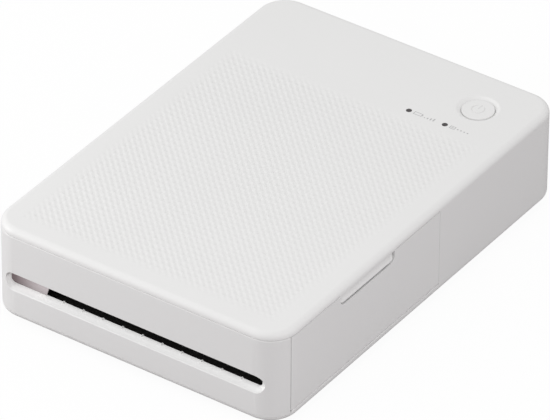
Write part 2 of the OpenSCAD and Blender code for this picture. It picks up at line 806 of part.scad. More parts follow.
module right_rail() {
    rear_y = turn_y + rail_rear;
    color("silver")
        difference() {
            union() {
                box(rail_x0, rail_x1, exit_y - rail_front, rear_y, rail_z0, rail_z1);
                box(rail_x0, rail_x1, capstan_y - ear_front, rear_y, rail_z0, pinch_at[1] + ear_top);
                box(rail_x0, rail_x1, rail_leg_y, rail_leg_y + plate_foot_l, floor_z, rail_z0 + 1);
                box(rail_x0 - plate_foot_w, rail_x1, rail_leg_y, rail_leg_y + plate_foot_l,
                    floor_z, floor_z + plate_t);
            }
            for (p = roller_places) rod_x(rail_x0 - 1, rail_x1 + 1, p, bush_r);
            rod_x(rail_x0 - 1, rail_x1 + 1, pinch_at, pinch_axle_r + bush_gap);
            translate([rail_x0 - plate_hole, rail_leg_y + plate_foot_l / 2, 0])
                cylinder(h = rail_z0 - 1, r = screw_r);
        }
}

bar_h = 1.6;
bar_w = 5.0;
bar_lift = 1.6;
bar_places = [exit_y + 6.0, capstan_y + 5.5];
module crossbars() {
    z0 = tray_z1 + bar_lift;
    color("silver")
        for (y = bar_places) box(plate_x1, rail_x0, y, y + bar_w, z0, z0 + bar_h);
}

bridge_half = 5.6;
leg_gap = 0.4;
leg_x0 = rail_x1 + leg_gap;
leg_t = 1.2;
leg_side = 1.0;
leg_lift = 0.4;
module head_bridge() {
    y = platen_y;
    color("silver")
        difference() {
            union() {
                box(plate_x0, leg_x0 + leg_t, y - bridge_half, y + bridge_half,
                    bridge_z0, bridge_z0 + bridge_t);
                box(leg_x0, leg_x0 + leg_t, y - bridge_half + leg_side, y + bridge_half - leg_side,
                    head_z + leg_lift, bridge_z0 + bridge_t);
            }
            guide_slot(leg_x0 - 1, leg_x0 + leg_t + 1);
        }
}

board_screw_grip = 2.4;
module foot_screw(x, y) {
    translate([x, y, floor_z]) {
        cylinder(h = plate_t, r = screw_r);
        translate([0, 0, plate_t]) cylinder(h = screw_head_h, r = screw_head_r);
    }
}

module frame_screws() {
    half = plate_foot_l / 2;
    color("silver") {
        for (y = [plate_y0 + half, plate_y1 - half]) foot_screw(plate_x1 + plate_hole, y);
        foot_screw(rail_x0 - plate_hole, rail_leg_y + half);
        for (p = board_bosses) screw(p, board_z0 - screw_head_h, board_t + board_screw_grip);
    }
}

module bush(at, x0, flange_side) {
    difference() {
        union() {
            rod_x(x0, x0 + plate_t, at, bush_r);
            rod_x(flange_side < 0 ? x0 - bush_flange_t : x0 + plate_t,
                  flange_side < 0 ? x0 : x0 + plate_t + bush_flange_t, at, bush_flange_r);
        }
        rod_x(x0 - 1, x0 + plate_t + 1, at, shaft_r + bush_gap);
    }
}

module roller_bushes() {
    color("ivory")
        for (p = roller_places) {
            bush(p, plate_x0, -1);
            bush(p, rail_x0, 1);
        }
}

module idler_studs() {
    color("silver")
        for (p = stud_places) {
            reach = p == reduction_at ? outer_gear_x0 : gear_x0;
            rod_x(reach - shaft_end, plate_x1, p, stud_r);
        }
}

module motor_body() {
    color("silver") {
        rod_x(plate_x1, plate_x1 + motor_l, motor_at, motor_r);
        rod_x(plate_x0, plate_x1, motor_at, motor_boss_r);
        rod_x(plate_x1 + motor_l, motor_x1, motor_at, motor_cap_r);
    }
}

motor_shaft_r = 0.75;
motor_shaft_gap = 0.1;
module motor_pinion() {
    color("gold") gear(motor_at, motor_teeth, motor_turn, outer_gear_x0, gear_w, motor_shaft_r - 0.05);
    color("silver")
        rod_x(outer_gear_x0 - shaft_end, plate_x0 - motor_shaft_gap, motor_at, motor_shaft_r);
}

sleeve_t = 1.2;
module reduction_gear() {
    bore = stud_r + stud_gap;
    color("ivory") {
        gear(reduction_at, reduction_small_teeth, reduction_turn, gear_x0, gear_w, bore);
        gear(reduction_at, reduction_large_teeth, reduction_turn, outer_gear_x0, gear_w, bore);
        difference() {
            rod_x(outer_gear_x1, gear_x0, reduction_at, stud_r + sleeve_t);
            rod_x(outer_gear_x1 - 1, gear_x0 + 1, reduction_at, bore);
        }
    }
}

// The curved chute that turns the sheet from the tray round to the head.
chute_lead = 5.0;
tip_behind = 4.4;
tip_lift = 0.4;
module turn_guide() {
    r0 = turn_r + chute_gap;
    r1 = r0 + chute_t;
    lead_y = capstan_y + chute_lead;
    tip = [capstan_y + tip_behind, pinch_at[1] + tip_lift];
    color("#2b2b2d")
        translate([plate_x1, 0, 0])
            rotate([90, 0, 90])
                linear_extrude(rail_x0 - plate_x1) {
                    difference() {
                        translate(turn_at) circle(r1);
                        translate(turn_at) circle(r0);
                        translate([turn_at[0] - far, 0]) square([far, far]);
                    }
                    translate([lead_y, turn_at[1] - r1]) square([turn_at[0] - lead_y, chute_t]);
                    polygon([[turn_at[0], turn_at[1] + r0], [turn_at[0], turn_at[1] + r1],
                             [tip[0], tip[1] + chute_t], tip]);
                }
}

tray_wall = 1.2;
tray_gap = 0.5;
tray_behind = 1.45;
tray_mouth = 0.7;
tray_y0 = split_y + tray_behind;
module paper_tray() {
    x0 = sheet_x0 - tray_gap - tray_wall;
    x1 = sheet_x1 + tray_gap + tray_wall;
    y1 = tray_y0 + sheet_l + 2 * (tray_gap + tray_wall);
    color("#3a3b3f")
        difference() {
            box(x0, x1, tray_y0, y1, tray_z0, tray_z1);
            box(x0 + tray_wall, x1 - tray_wall, tray_y0 + tray_wall, y1 - tray_wall,
                stack_z0, far);
            box(x0 + tray_wall, x1 - tray_wall, y1 - sheet_l, y1 + 1, stack_z0 + tray_mouth, far);
        }
}

module paper_stack() {
    y0 = tray_y0 + tray_wall + tray_gap;
    color("white") box(sheet_x0, sheet_x1, y0, y0 + sheet_l, stack_z0, stack_z1);
}

journal_r = 2.5;
end_t = 1.0;
cassette_rail_h = 2.7;
window_l = 4.6;
window_lift = 0.4;
module lobe(at, toward) {
    difference() {
        rod_x(lobe_x0, lobe_x1, at, lobe_r);
        rod_x(lobe_x0 + end_t, lobe_x1 - end_t, at, lobe_r - lobe_wall);
        rod_x(lobe_x0 - 1, lobe_x1 + 1, at, journal_r + bush_gap);
        translate([lobe_x0 + end_t, at[0] + (toward < 0 ? -lobe_r - 1 : lobe_r + 1 - window_l),
                   at[1] - lobe_r - 1])
            cube([lobe_x1 - lobe_x0 - 2 * end_t, window_l, lobe_r + window_lift]);
    }
}

module ribbon_cassette() {
    color("#3a3b3f") {
        lobe(take_up_at, 1);
        lobe(supply_at, -1);
        difference() {
            for (x = [[lobe_x0, sheet_x0 - cassette_clear], [rail_x0, lobe_x1]])
                box(x[0], x[1], take_up_at[0], supply_at[0], rail_z1, rail_z1 + cassette_rail_h);
            for (p = [take_up_at, supply_at])
                rod_x(lobe_x0 - 1, lobe_x1 + 1, p, lobe_r - lobe_wall);
        }
    }
}

wound_gap = 0.15;
take_up_less = 1.0;
take_up_wound_r = ribbon_r - take_up_less;
film_bend = 6.8;

// Where a line from p just touches a circle about c.
function touch(p, c, r, side) = beside(c, r, bearing(c, p) + side * acos(r / norm(p - c)));

module ribbon_film() {
    inner = lobe_from_head - film_bend;
    a = [platen_y - inner, film_z];
    b = [platen_y + inner, film_z];
    lift = [0, film_t];
    side = [film_t, 0];
    up_a = touch(a, take_up_at, take_up_wound_r + wound_gap, 1);
    up_b = touch(b, supply_at, ribbon_r + wound_gap, -1);
    color("#2a2326")
        translate([film_x0, 0, 0])
            rotate([90, 0, 90])
                linear_extrude(film_x1 - film_x0)
                    polygon([up_a, a, b, up_b, up_b - side, b + lift - side, a + lift + side, up_a + side]);
}

spool_out = 0.5;
spool_in = 0.2;
module spool(at, wound_r) {
    rod_x(lobe_x0 - spool_out, lobe_x1 - spool_in, at, journal_r);
    rod_x(film_x0, film_x1, at, wound_r);
}

dog_r = 1.6;
dog_gap = 0.1;
dog_l = 2.3;
module take_up_spool() {
    color("#35343a")
        difference() {
            spool(take_up_at, take_up_wound_r);
            rod_x(lobe_x0 - 1, lobe_x0 + dog_l + 2 * dog_gap, take_up_at, dog_r + dog_gap);
        }
}

module supply_spool() {
    color("#35343a") spool(supply_at, ribbon_r);
}

// The take-up gear's hub passes through the side plate and drives the spool by its dog.
hub_bore = 0.8;
hub_gap = 0.2;
module take_up_gear() {
    hub_x1 = lobe_x0 - spool_out - hub_gap;
    color("ivory") {
        gear(take_up_at, take_up_teeth, take_up_turn, gear_x0, gear_w, hub_bore);
        difference() {
            union() {
                rod_x(gear_x0, hub_x1, take_up_at, hub_r);
                rod_x(hub_x1 - dog_gap, lobe_x0 + dog_l, take_up_at, dog_r);
            }
            rod_x(gear_x0 - 1, gear_x1 + 1, take_up_at, hub_bore);
        }
    }
}

// The battery fills the room between the chute, the motor and the back wall.
battery_corner_r = 3.0;
battery_motor_gap = 0.8;
battery_side_gap = 8.6;
battery_chute_gap = 4.0;
battery_back_gap = 2.9;
battery_x0 = motor_x1 + battery_motor_gap;
battery_x1 = right_x - wall - battery_side_gap;
battery_y0 = turn_y + turn_r + chute_gap + chute_t + battery_chute_gap;
battery_y1 = back_y - wall - battery_back_gap;
module battery_pack() {
    r = battery_corner_r;
    w = battery_x1 - battery_x0;
    l = battery_y1 - battery_y0;
    color("#4b5a66")
        translate([battery_x0, battery_y0, floor_z])
            linear_extrude(battery_h) {
                translate([r, 0]) square([w - 2 * r, l]);
                translate([0, r]) square([w, l - 2 * r]);
                for (x = [r, w - r], y = [r, l - r]) translate([x, y]) circle(r);
            }
}

// Chips under the board: [x, y] of a corner on the board, width, length and height.
board_post_gap = 0.4;
chips = [[22, 12, 9, 9, 1.0], [36, 14, 5, 6, 0.9]];
led_half = 0.8;
led_h = 0.7;
module main_board() {
    color("seagreen")
        difference() {
            box(board_x0, board_x1, board_y0, board_y1, board_z0, board_z1);
            translate([posts[3][0], posts[3][1], 0]) cylinder(h = far, r = post_r + board_post_gap);
            for (p = board_bosses) translate([p[0], p[1], 0]) cylinder(h = far, r = screw_r);
        }
    color("#1c1c1e") {
        for (c = chips)
            translate([board_x0 + c[0], board_y0 + c[1], board_z0 - c[4]]) cube([c[2], c[3], c[4]]);
        for (p = lights)
            box(p[0] - led_half, p[0] + led_half, p[1] - led_half, p[1] + led_half,
                board_z1, board_z1 + led_h);
    }
}

usb_shell_t = 0.35;
usb_inside = 5.6;
usb_sink = 1.2;
tongue_half_w = 3.2;
tongue_half_t = 0.35;
tongue_short = 0.8;
module usb_socket() {
    y0 = back_y - wall - usb_inside;
    y1 = back_y - usb_sink;
    t = usb_shell_t;
    color("silver") {
        difference() {
            stadium_y(usb_x - usb_w / 2, usb_x + usb_w / 2, usb_z - usb_h / 2, usb_z + usb_h / 2, y0, y1);
            stadium_y(usb_x - usb_w / 2 + t, usb_x + usb_w / 2 - t,
                      usb_z - usb_h / 2 + t, usb_z + usb_h / 2 - t, y0 + 1, y1 + 1);
        }
        box(usb_x - tongue_half_w, usb_x + tongue_half_w, y0 + 1 - eps, y1 - tongue_short,
            usb_z - tongue_half_t, usb_z + tongue_half_t);
    }
}

switch_half = 2.6;
switch_h = 1.5;
plunger_r = 1.5;
stem_r = 1.2;
stem_l = 2.95;
stem_gap = 0.05;
stem_z0 = button_z1 - stem_l;
plunger_z1 = stem_z0 - button_travel - stem_gap;
module button_switch() {
    color("dimgray") {
        box(button_at[0] - switch_half, button_at[0] + switch_half,
            button_at[1] - switch_half, button_at[1] + switch_half, board_z1, board_z1 + switch_h);
        translate([button_at[0], button_at[1], board_z1])
            cylinder(h = plunger_z1 - board_z1, r = plunger_r);
    }
}

flange_over = 0.73;
flange_t = 0.6;
flange_gap = 0.1;
module power_button() {
    flange_z1 = ceiling_z - flange_gap;
    color("whitesmoke")
        translate([button_at[0], button_at[1], 0]) {
            translate([0, 0, flange_z1 - flange_t]) {
                cylinder(h = button_z1 - flange_z1 + flange_t, r = button_r);
                cylinder(h = flange_t, r = button_r + flange_over);
            }
            translate([0, 0, stem_z0]) cylinder(h = flange_z1 - stem_z0, r = stem_r);
        }
}

light_sink = 0.02;
light_flange_t = 0.8;
light_flange_over = 0.9;
light_led_gap = 0.2;
module light_pipes() {
    z0 = board_z1 + led_h + light_led_gap;
    color("#46403f")
        for (p = lights)
            translate([p[0], p[1], 0]) {
                translate([0, 0, z0]) cylinder(h = body_h - light_sink - z0, r = light_r);
                translate([0, 0, ceiling_z - light_flange_t])
                    cylinder(h = light_flange_t, r = light_r + light_flange_over);
            }
}

// Flat cable from the board to the bridge over the head.
cable_w = 16;
cable_t = 0.3;
cable_drop = 0.9;
plug_side = 1.0;
plug_l = 4.0;
module head_cable() {
    z = bridge_z0 + bridge_t - cable_drop;
    y0 = platen_y + bridge_half;
    x0 = paper_x - cable_w / 2;
    x1 = paper_x + cable_w / 2;
    color("#c9b58a") {
        box(x0, x1, y0, board_y0 + plug_l, z, z + cable_t);
        box(x0 - plug_side, x1 + plug_side, board_y0 + 1, board_y0 + 1 + plug_l, board_z1, z);
    }
}

// Two coil springs between the bridge and the head.
spring_from_end = 11.0;
spring_places = [sheet_x0 + spring_from_end, sheet_x1 - spring_from_end];
spring_r = 2.0;
spring_wire = 0.35;
spring_turns = 5;
spring_steps = 16;
wire_sides = 8;
function coil_ring(k, z0, h) =
    let (turn = 360 * k / spring_steps, z = z0 + h * k / (spring_steps * spring_turns))
    [for (i = [0 : wire_sides - 1])
        let (a = 360 * i / wire_sides, r = spring_r + spring_wire * cos(a))
        [r * cos(turn), r * sin(turn), z + spring_wire * sin(a)]];

module coil_spring(z0, h) {
    rings = spring_steps * spring_turns;
    points = [for (k = [0 : rings]) each coil_ring(k, z0, h)];
    sides = [for (k = [0 : rings - 1], i = [0 : wire_sides - 1])
        let (a = k * wire_sides, b = a + wire_sides, j = (i + 1) % wire_sides)
        [a + i, a + j, b + j, b + i]];
    first = [for (i = [wire_sides - 1 : -1 : 0]) i];
    last = [for (i = [0 : wire_sides - 1]) rings * wire_sides + i];
    polyhedron(points, concat(sides, [first, last]));
}

module head_springs() {
    z0 = head_z + ridge_drop + ceramic_t + carrier_t;
    color("silver")
        for (x = spring_places)
            translate([x, platen_y, 0])
                coil_spring(z0 + spring_wire, bridge_z0 - z0 - 2 * spring_wire);
}

module cassette_door() {
    arm_cut = arm_r + arm_gap;
    r = notch_r;
    color("whitesmoke") {
        for (y = latch_places)
            box(right_x - wall - latch_reach, right_x - door_t + eps, y - latch_w / 2, y + latch_w / 2,
                latch_z0, latch_z0 + latch_h);
        difference() {
            intersection() {
                case_block();
                union() {
                    box(right_x - door_t, right_x + 1, split_y + seam_gap, door_end_y - seam_gap,
                        hinge_z, top_seam_z - seam_gap);
                    rod_y(hinge_x, hinge_z, split_y + seam_gap, door_end_y - seam_gap, hinge_r);
                }
            }
            translate([right_x - 2 * door_t, 0, 0])
                rotate([90, 0, 90])
                    linear_extrude(3 * door_t) {
                        translate([notch_y0 + r, notch_z]) square([notch_l - 2 * r, far]);
                        translate([notch_y0, notch_z + r]) square([notch_l, far]);
                        for (y = [notch_y0 + r, notch_y1 - r]) translate([y, notch_z + r]) circle(r);
                    }
            for (y = arm_places) {
                y0 = y - arm_w / 2 - arm_gap;
                y1 = y + arm_w / 2 + arm_gap;
                rod_y(hinge_x, hinge_z, y0, y1, arm_cut);
                box(hinge_x - far, hinge_x + arm_cut, y0, y1, hinge_z - far, hinge_z);
                box(hinge_x - far, hinge_x, y0, y1, hinge_z - far, hinge_z + arm_cut);
            }
            for (y = arm_places)
                rod_y(hinge_x, hinge_z, y - pin_l / 2, y + pin_l / 2, pin_r);
        }
    }
}

pin_l = 8;
module door_hinge_pins() {
    color("silver")
        for (y = arm_places) rod_y(hinge_x, hinge_z, y - pin_l / 2, y + pin_l / 2, pin_r);
}

// The print head: a ceramic bar with a glazed ridge, under an aluminium carrier.
ceramic_t = 0.9;
carrier_t = 1.8;
ridge_r = 0.5;
ridge_drop = 0.3;
head_over = 1.0;
head_x0 = sheet_x0 - head_over;
head_x1 = sheet_x1 + head_over;
module thermal_head() {
    y = platen_y;
    x0 = head_x0;
    x1 = head_x1;
    color("#8d8b86") {
        box(x0, x1, y - head_w / 2, y + head_w / 2, head_z + ridge_drop, head_z + ridge_drop + ceramic_t);
        rod_x(x0, x1, [y, head_z + ridge_r], ridge_r);
    }
}

bracket_inset = 0.4;
fin_h = 4.2;
fin_half = 0.6;
ear_half = 4.0;
ear_lift = 1.4;
ear_lap = 2.0;
ear_gap = 0.2;
pin_root = 1.0;
module head_bracket() {
    y = platen_y;
    z0 = head_z + ridge_drop + ceramic_t;
    w = head_w / 2 - bracket_inset;
    ear_z = z0 + ear_lift;
    ear_in = plate_x1 + ear_gap;
    ear_out = leg_x0 - ear_gap;
    color("lightgray") {
        box(head_x0, head_x1, y - w, y + w, z0, z0 + carrier_t);
        for (fin_y = [y - w + fin_half, y + w - fin_half])
            box(head_x0, head_x1, fin_y - fin_half, fin_y + fin_half, z0, z0 + fin_h);
        box(ear_in, head_x0 + ear_lap, y - ear_half, y + ear_half, ear_z, z0 + fin_h);
        box(head_x1 - ear_lap, ear_out, y - ear_half, y + ear_half, ear_z, z0 + fin_h);
        rod_x(plate_x0 + ear_gap, ear_in + pin_root, [y, guide_pin_z], guide_pin_r);
        rod_x(ear_out - pin_root, leg_x0 + leg_t - ear_gap, [y, guide_pin_z], guide_pin_r);
    }
}

module roller(at, x0, x1, r) {
    difference() {
        rod_x(x0, x1, at, r);
        rod_x(x0 - 1, x1 + 1, at, shaft_r);
    }
}

module shaft(at) {
    rod_x(shaft_x0, shaft_x1, at, shaft_r);
}

module shaft_gear(at, teeth, turn) {
    gear(at, teeth, turn, gear_x0, gear_w, shaft_r);
}

module turn_roller() { color("#2f2f31") roller(turn_at, roller_x0, roller_x1, turn_r); }
module turn_shaft() { color("silver") shaft(turn_at); }
module turn_gear() { color("ivory") shaft_gear(turn_at, turn_teeth, turn_turn); }
module turn_idler() { color("ivory") idler(turn_idler_at, turn_idler_teeth, turn_idler_turn); }
module capstan_roller() { color("#55565a") roller(capstan_at, roller_x0, roller_x1, capstan_r); }
module capstan_shaft() { color("silver") shaft(capstan_at); }
module capstan_gear() { color("ivory") shaft_gear(capstan_at, capstan_teeth, capstan_turn); }
module feed_idler() { color("ivory") idler(feed_idler_at, feed_idler_teeth, feed_idler_turn); }
pickup_l = 40;
module pickup_roller() {
    color("#2f2f31") roller(pickup_at, paper_x - pickup_l / 2, paper_x + pickup_l / 2, platen_r);
}
module pickup_shaft() { color("silver") shaft(pickup_at); }
module pickup_gear() { color("ivory") shaft_gear(pickup_at, pickup_teeth, pickup_turn); }
module middle_idler() { color("ivory") idler(middle_idler_at, middle_idler_teeth, middle_idler_turn); }
module platen_roller() { color("#2f2f31") roller(platen_at, roller_x0, roller_x1, platen_r); }
module platen_shaft() { color("silver") shaft(platen_at); }
module platen_gear() { color("ivory") shaft_gear(platen_at, platen_teeth, platen_turn); }
module print_idler() { color("ivory") idler(print_idler_at, print_idler_teeth, print_idler_turn); }
module exit_idler() { color("ivory") idler(exit_idler_at, exit_idler_teeth, exit_idler_turn); }
module exit_roller() { color("#2f2f31") roller(exit_at, roller_x0, roller_x1, capstan_r); }
module exit_shaft() { color("silver") shaft(exit_at); }
module exit_gear() { color("ivory") shaft_gear(exit_at, exit_teeth, exit_turn); }
module pinch_roller() {
    color("#6d6e72") rod_x(roller_x0, roller_x1, pinch_at, pinch_r);
    color("silver") rod_x(plate_x0 - shaft_end, rail_x1 + shaft_end, pinch_at, pinch_axle_r);
}

upper_case();
bottom_case();
front_panel();
exit_guide();
rubber_feet();
case_screws();
rating_plate();
side_plate();
right_rail();
crossbars();
head_bridge();
head_springs();
frame_screws();
roller_bushes();
idler_studs();
motor_body();
turn_guide();
paper_tray();
paper_stack();
ribbon_cassette();
ribbon_film();
battery_pack();
main_board();
usb_socket();
button_switch();
light_pipes();
head_cable();
power_button();
cassette_door();
door_hinge_pins();
thermal_head();
head_bracket();
motor_pinion();
reduction_gear();
turn_roller();
turn_shaft();
turn_gear();
turn_idler();
capstan_roller();
capstan_shaft();
capstan_gear();
feed_idler();
pickup_roller();
pickup_shaft();
pickup_gear();
middle_idler();
platen_roller();
platen_shaft();
platen_gear();
print_idler();
take_up_spool();
take_up_gear();
exit_idler();
exit_roller();
exit_shaft();
exit_gear();
pinch_roller();
supply_spool();
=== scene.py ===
"""Looks of a compact photo printer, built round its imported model.

The shells, the button, the light windows and the feet are modelled again here, in the
frame's own axes: +X right, -Y front, +Z up, with the origin at the middle of the
footprint. They are made in millimetres and brought to metres when they are finished.
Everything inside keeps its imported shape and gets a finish.
"""

import json
import logging
import math
from dataclasses import dataclass, field
from enum import Enum, IntEnum
from functools import cache
from typing import Callable, Optional, Sequence, Union

import bmesh
import bpy
from mathutils import Matrix, Vector


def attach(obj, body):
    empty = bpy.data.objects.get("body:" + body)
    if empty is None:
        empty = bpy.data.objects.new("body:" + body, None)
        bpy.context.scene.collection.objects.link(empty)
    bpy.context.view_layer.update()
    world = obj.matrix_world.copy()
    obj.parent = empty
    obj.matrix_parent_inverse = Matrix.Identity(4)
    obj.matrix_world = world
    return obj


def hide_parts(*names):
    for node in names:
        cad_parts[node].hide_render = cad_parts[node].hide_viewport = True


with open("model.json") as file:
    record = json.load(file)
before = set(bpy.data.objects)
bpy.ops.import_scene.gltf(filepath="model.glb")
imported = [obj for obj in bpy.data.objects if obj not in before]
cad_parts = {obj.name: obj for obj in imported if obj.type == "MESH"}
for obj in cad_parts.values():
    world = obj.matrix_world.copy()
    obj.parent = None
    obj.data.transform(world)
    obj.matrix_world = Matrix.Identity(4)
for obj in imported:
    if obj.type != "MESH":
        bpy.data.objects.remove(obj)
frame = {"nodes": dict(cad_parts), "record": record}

LOG = logging.getLogger("photo_printer")
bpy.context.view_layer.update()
MM = 0.001  # A millimetre in metres
FAR = 200.0  # Where a cutter that ends outside the object ends
PAST = 1.0  # How far a cutter runs past a face that it opens
SUNK = 0.3  # How deep a piece inside is sunk in the wall that carries it
NEAR = 0.01  # Tolerance for places
HAIR = 0.001  # Least length that stays between two roundings
MERGE = 0.0005  # Distance below which points are merged
SMOOTH = 24.0  # Greatest angle of a smoothed edge, in degrees

Piece = bpy.types.Object
Place = Sequence[float]
Pair = tuple[float, float]
Places = tuple[Pair, ...]
Triple = tuple[float, float, float]
EdgeTest = Callable[[Vector, Vector], bool]

WHITE_LIGHT = (1.0, 1.0, 1.0, 1.0)


class Side(Enum):
    """What a boolean does with its tool."""

    CUT = "DIFFERENCE"
    KEEP = "INTERSECT"
    ADD = "UNION"


class Pick(Enum):
    """Which elements are selected in edit mode."""

    EDGE = "edges"
    FACE = "faces"


class Axis(Enum):
    """Direction in which a rod or a rounded bar runs."""

    Y = 1
    Z = 2


class Sides(IntEnum):
    """How many sides a round form has."""

    HOLE = 24
    POST = 32
    WINDOW = 40
    FOOT = 64
    BUTTON = 96
    SCOOP = 192


# ---------------------------------------------------------------- modelling bench


class Bench:
    """Modelling by operators, at one unit to the millimetre until a piece is finished."""

    @staticmethod
    def only(piece: Optional[Piece]) -> None:
        """Leaves one object selected and active, or none.

        Args:
            piece: The object, or None.
        """
        bpy.ops.object.select_all(action="DESELECT")
        if piece:
            piece.select_set(True)
            bpy.context.view_layer.objects.active = piece

    @staticmethod
    def settle() -> Piece:
        """Moves the place, turn and size of the object just added into its mesh."""
        bpy.ops.object.transform_apply(location=True, rotation=True, scale=True)
        return bpy.context.object

    @staticmethod
    def box(low: Place, high: Place, radius: float = 0.0, axis: Axis = Axis.Z, steps: int = 8) -> Piece:
        """Adds a box, with the edges along one axis rounded where a radius is given.

        Args:
            low: Lowest corner, in millimetres.
            high: Highest corner, in millimetres.
            radius: Radius of the rounding.
            axis: Direction of the rounded edges.
            steps: Number of segments across the rounding.

        Returns:
            The new object.
        """
        Bench.only(None)
        bpy.ops.mesh.primitive_cube_add(size=1.0, location=[(a + b) / 2 for a, b in zip(low, high)],
                                        scale=[b - a for a, b in zip(low, high)])
        piece = Bench.settle()
        if radius:
            Bench.round_edges(piece, lambda a, b: abs((b - a)[axis.value]) > (b - a).length / 2, radius,
                              steps)
        return piece

    @staticmethod
    def rod(start: Place, length: float, radius: float, end_radius: Optional[float] = None,
            axis: Axis = Axis.Z, sides: Sides = Sides.POST) -> Piece:
        """Adds a cylinder, or a cone when end_radius is given.

        Args:
            start: Middle of its first end, in millimetres.
            length: Length along the axis.
            radius: Radius at the first end.
            end_radius: Radius at the far end.
            axis: Direction that it runs in.
            sides: Number of sides.

        Returns:
            The new object.
        """
        Bench.only(None)
        middle = list(start)
        middle[axis.value] += length / 2
        turn = -math.pi / 2 if axis is Axis.Y else 0.0
        bpy.ops.mesh.primitive_cone_add(
            vertices=sides, radius1=radius, radius2=radius if end_radius is None else end_radius,
            depth=length, location=middle, rotation=(turn, 0.0, 0.0))
        return Bench.settle()

    @staticmethod
    def loft(rings: Sequence[Sequence[Place]]) -> Piece:
        """Adds a closed solid through rings of points, with a flat cap at either end.

        Args:
            rings: Rings of equally many points, in millimetres.

        Returns:
            The new object.
        """
        count = len(rings[0])
        points = [point for ring in rings for point in ring]
        last = len(points) - count
        faces = [list(range(count)), list(range(last, len(points)))]
        for start in range(0, last, count):
            for k in range(count):
                after = (k + 1) % count
                faces.append([start + k, start + after, start + count + after, start + count + k])
        mesh = bpy.data.meshes.new("loft")
        mesh.from_pydata(points, [], faces)
        piece = bpy.data.objects.new("loft", mesh)
        bpy.context.collection.objects.link(piece)
        Bench.select(piece, Pick.FACE)
        bpy.ops.mesh.normals_make_consistent(inside=False)
        bpy.ops.object.mode_set(mode="OBJECT")
        return piece

    @staticmethod
    def select(piece: Piece, pick: Pick, chosen: Callable[..., bool] = lambda element: True) -> int:
        """Goes into edit mode with the chosen edges or faces selected, or with all of them.

        Args:
            piece: The piece to work on.
            pick: Whether edges or faces are selected.
            chosen: Test on an edge or a face.

        Returns:
            How many were selected.
        """
        Bench.only(piece)
        bpy.ops.object.mode_set(mode="EDIT")
        bpy.ops.mesh.select_mode(type=pick.name)
        bpy.ops.mesh.select_all(action="DESELECT")
        mesh = bmesh.from_edit_mesh(piece.data)
        found = [element for element in getattr(mesh, pick.value) if chosen(element)]
        for element in found:
            element.select_set(True)
        bmesh.update_edit_mesh(piece.data)
        return len(found)

    @staticmethod
    def round_edges(piece: Piece, chosen: EdgeTest, radius: float, steps: int, sharp: float = 20.0) -> None:
        """Rounds the edges that a test on their two ends picks.

        Args:
            piece: The piece to work on.
            chosen: Test on an edge's two ends, in millimetres.
            radius: Radius of the rounding.
            steps: Number of segments across it.
            sharp: Least angle between an edge's faces, in degrees.
        """
        least = math.radians(sharp)
        if Bench.select(piece, Pick.EDGE, lambda edge: len(edge.link_faces) == 2
                        and edge.calc_face_angle(0.0) > least and chosen(*[end.co for end in edge.verts])):
            bpy.ops.mesh.bevel(offset=radius, offset_type="OFFSET", segments=steps,
                               affect="EDGES", clamp_overlap=True)
        bpy.ops.object.mode_set(mode="OBJECT")

    @staticmethod
    def combine(piece: Piece, side: Side, tools: Sequence[Piece]) -> Piece:
        """Applies one boolean for each tool, which is used up.

        Args:
            piece: The piece to work on.
            side: What the boolean does.
            tools: The other solids.

        Returns:
            The piece.
        """
        for tool in tools:
            Bench.only(piece)
            change = piece.modifiers.new("shape", "BOOLEAN")
            change.operation = side.value
            change.solver = "EXACT"
            change.object = tool
            bpy.ops.object.modifier_apply(modifier=change.name)
            bpy.data.objects.remove(tool, do_unlink=True)
        return piece

    @staticmethod
    def cut(piece: Piece, *tools: Piece) -> Piece:
        """Cuts other solids out of a piece."""
        return Bench.combine(piece, Side.CUT, tools)

    @staticmethod
    def keep(piece: Piece, *tools: Piece) -> Piece:
        """Keeps what a piece shares with other solids."""
        return Bench.combine(piece, Side.KEEP, tools)

    @staticmethod
    def add(piece: Piece, *tools: Piece) -> Piece:
        """Fuses other solids into a piece."""
        return Bench.combine(piece, Side.ADD, tools)

    @staticmethod
    def join(piece: Piece, *others: Piece) -> Piece:
        """Joins separate solids into one piece.

        Args:
            piece: The piece that takes the others in.
            others: The other solids.

        Returns:
            The piece.
        """
        Bench.only(piece)
        for other in others:
            other.select_set(True)
        bpy.ops.object.join()
        return piece

    @staticmethod
    def repeat(piece: Piece, places: Sequence[Pair]) -> list[Piece]:
        """Copies a piece, each copy with its own mesh.

        Args:
            piece: The piece, which is used up.
            places: How far the copies move, in X and Y.

        Returns:
            The copies.
        """
        copies = []
        for place in places:
            twin = piece.copy()
            twin.data = piece.data.copy()
            twin.data.transform(Matrix.Translation((*place, 0.0)))
            bpy.context.collection.objects.link(twin)
            copies.append(twin)
        bpy.data.objects.remove(piece, do_unlink=True)
        return copies

    @staticmethod
    def finish(piece: Piece, name: str) -> Piece:
        """Smooths a piece's shallow edges and brings it to its real size in metres.

        Args:
            piece: The piece to finish.
            name: Its name.

        Returns:
            The finished piece.
        """
        piece.name = name
        Bench.select(piece, Pick.FACE)
        bpy.ops.mesh.remove_doubles(threshold=MERGE)
        bpy.ops.mesh.normals_make_consistent(inside=False)
        bpy.ops.transform.resize(value=(MM, MM, MM), center_override=(0, 0, 0))
        bpy.ops.object.mode_set(mode="OBJECT")
        bpy.ops.object.shade_smooth_by_angle(angle=math.radians(SMOOTH))
        level = piece.modifiers.new("level", "WEIGHTED_NORMAL")
        level.keep_sharp = True
        bpy.ops.object.modifier_apply(modifier=level.name)
        return piece


# ---------------------------------------------------------------- shader maths


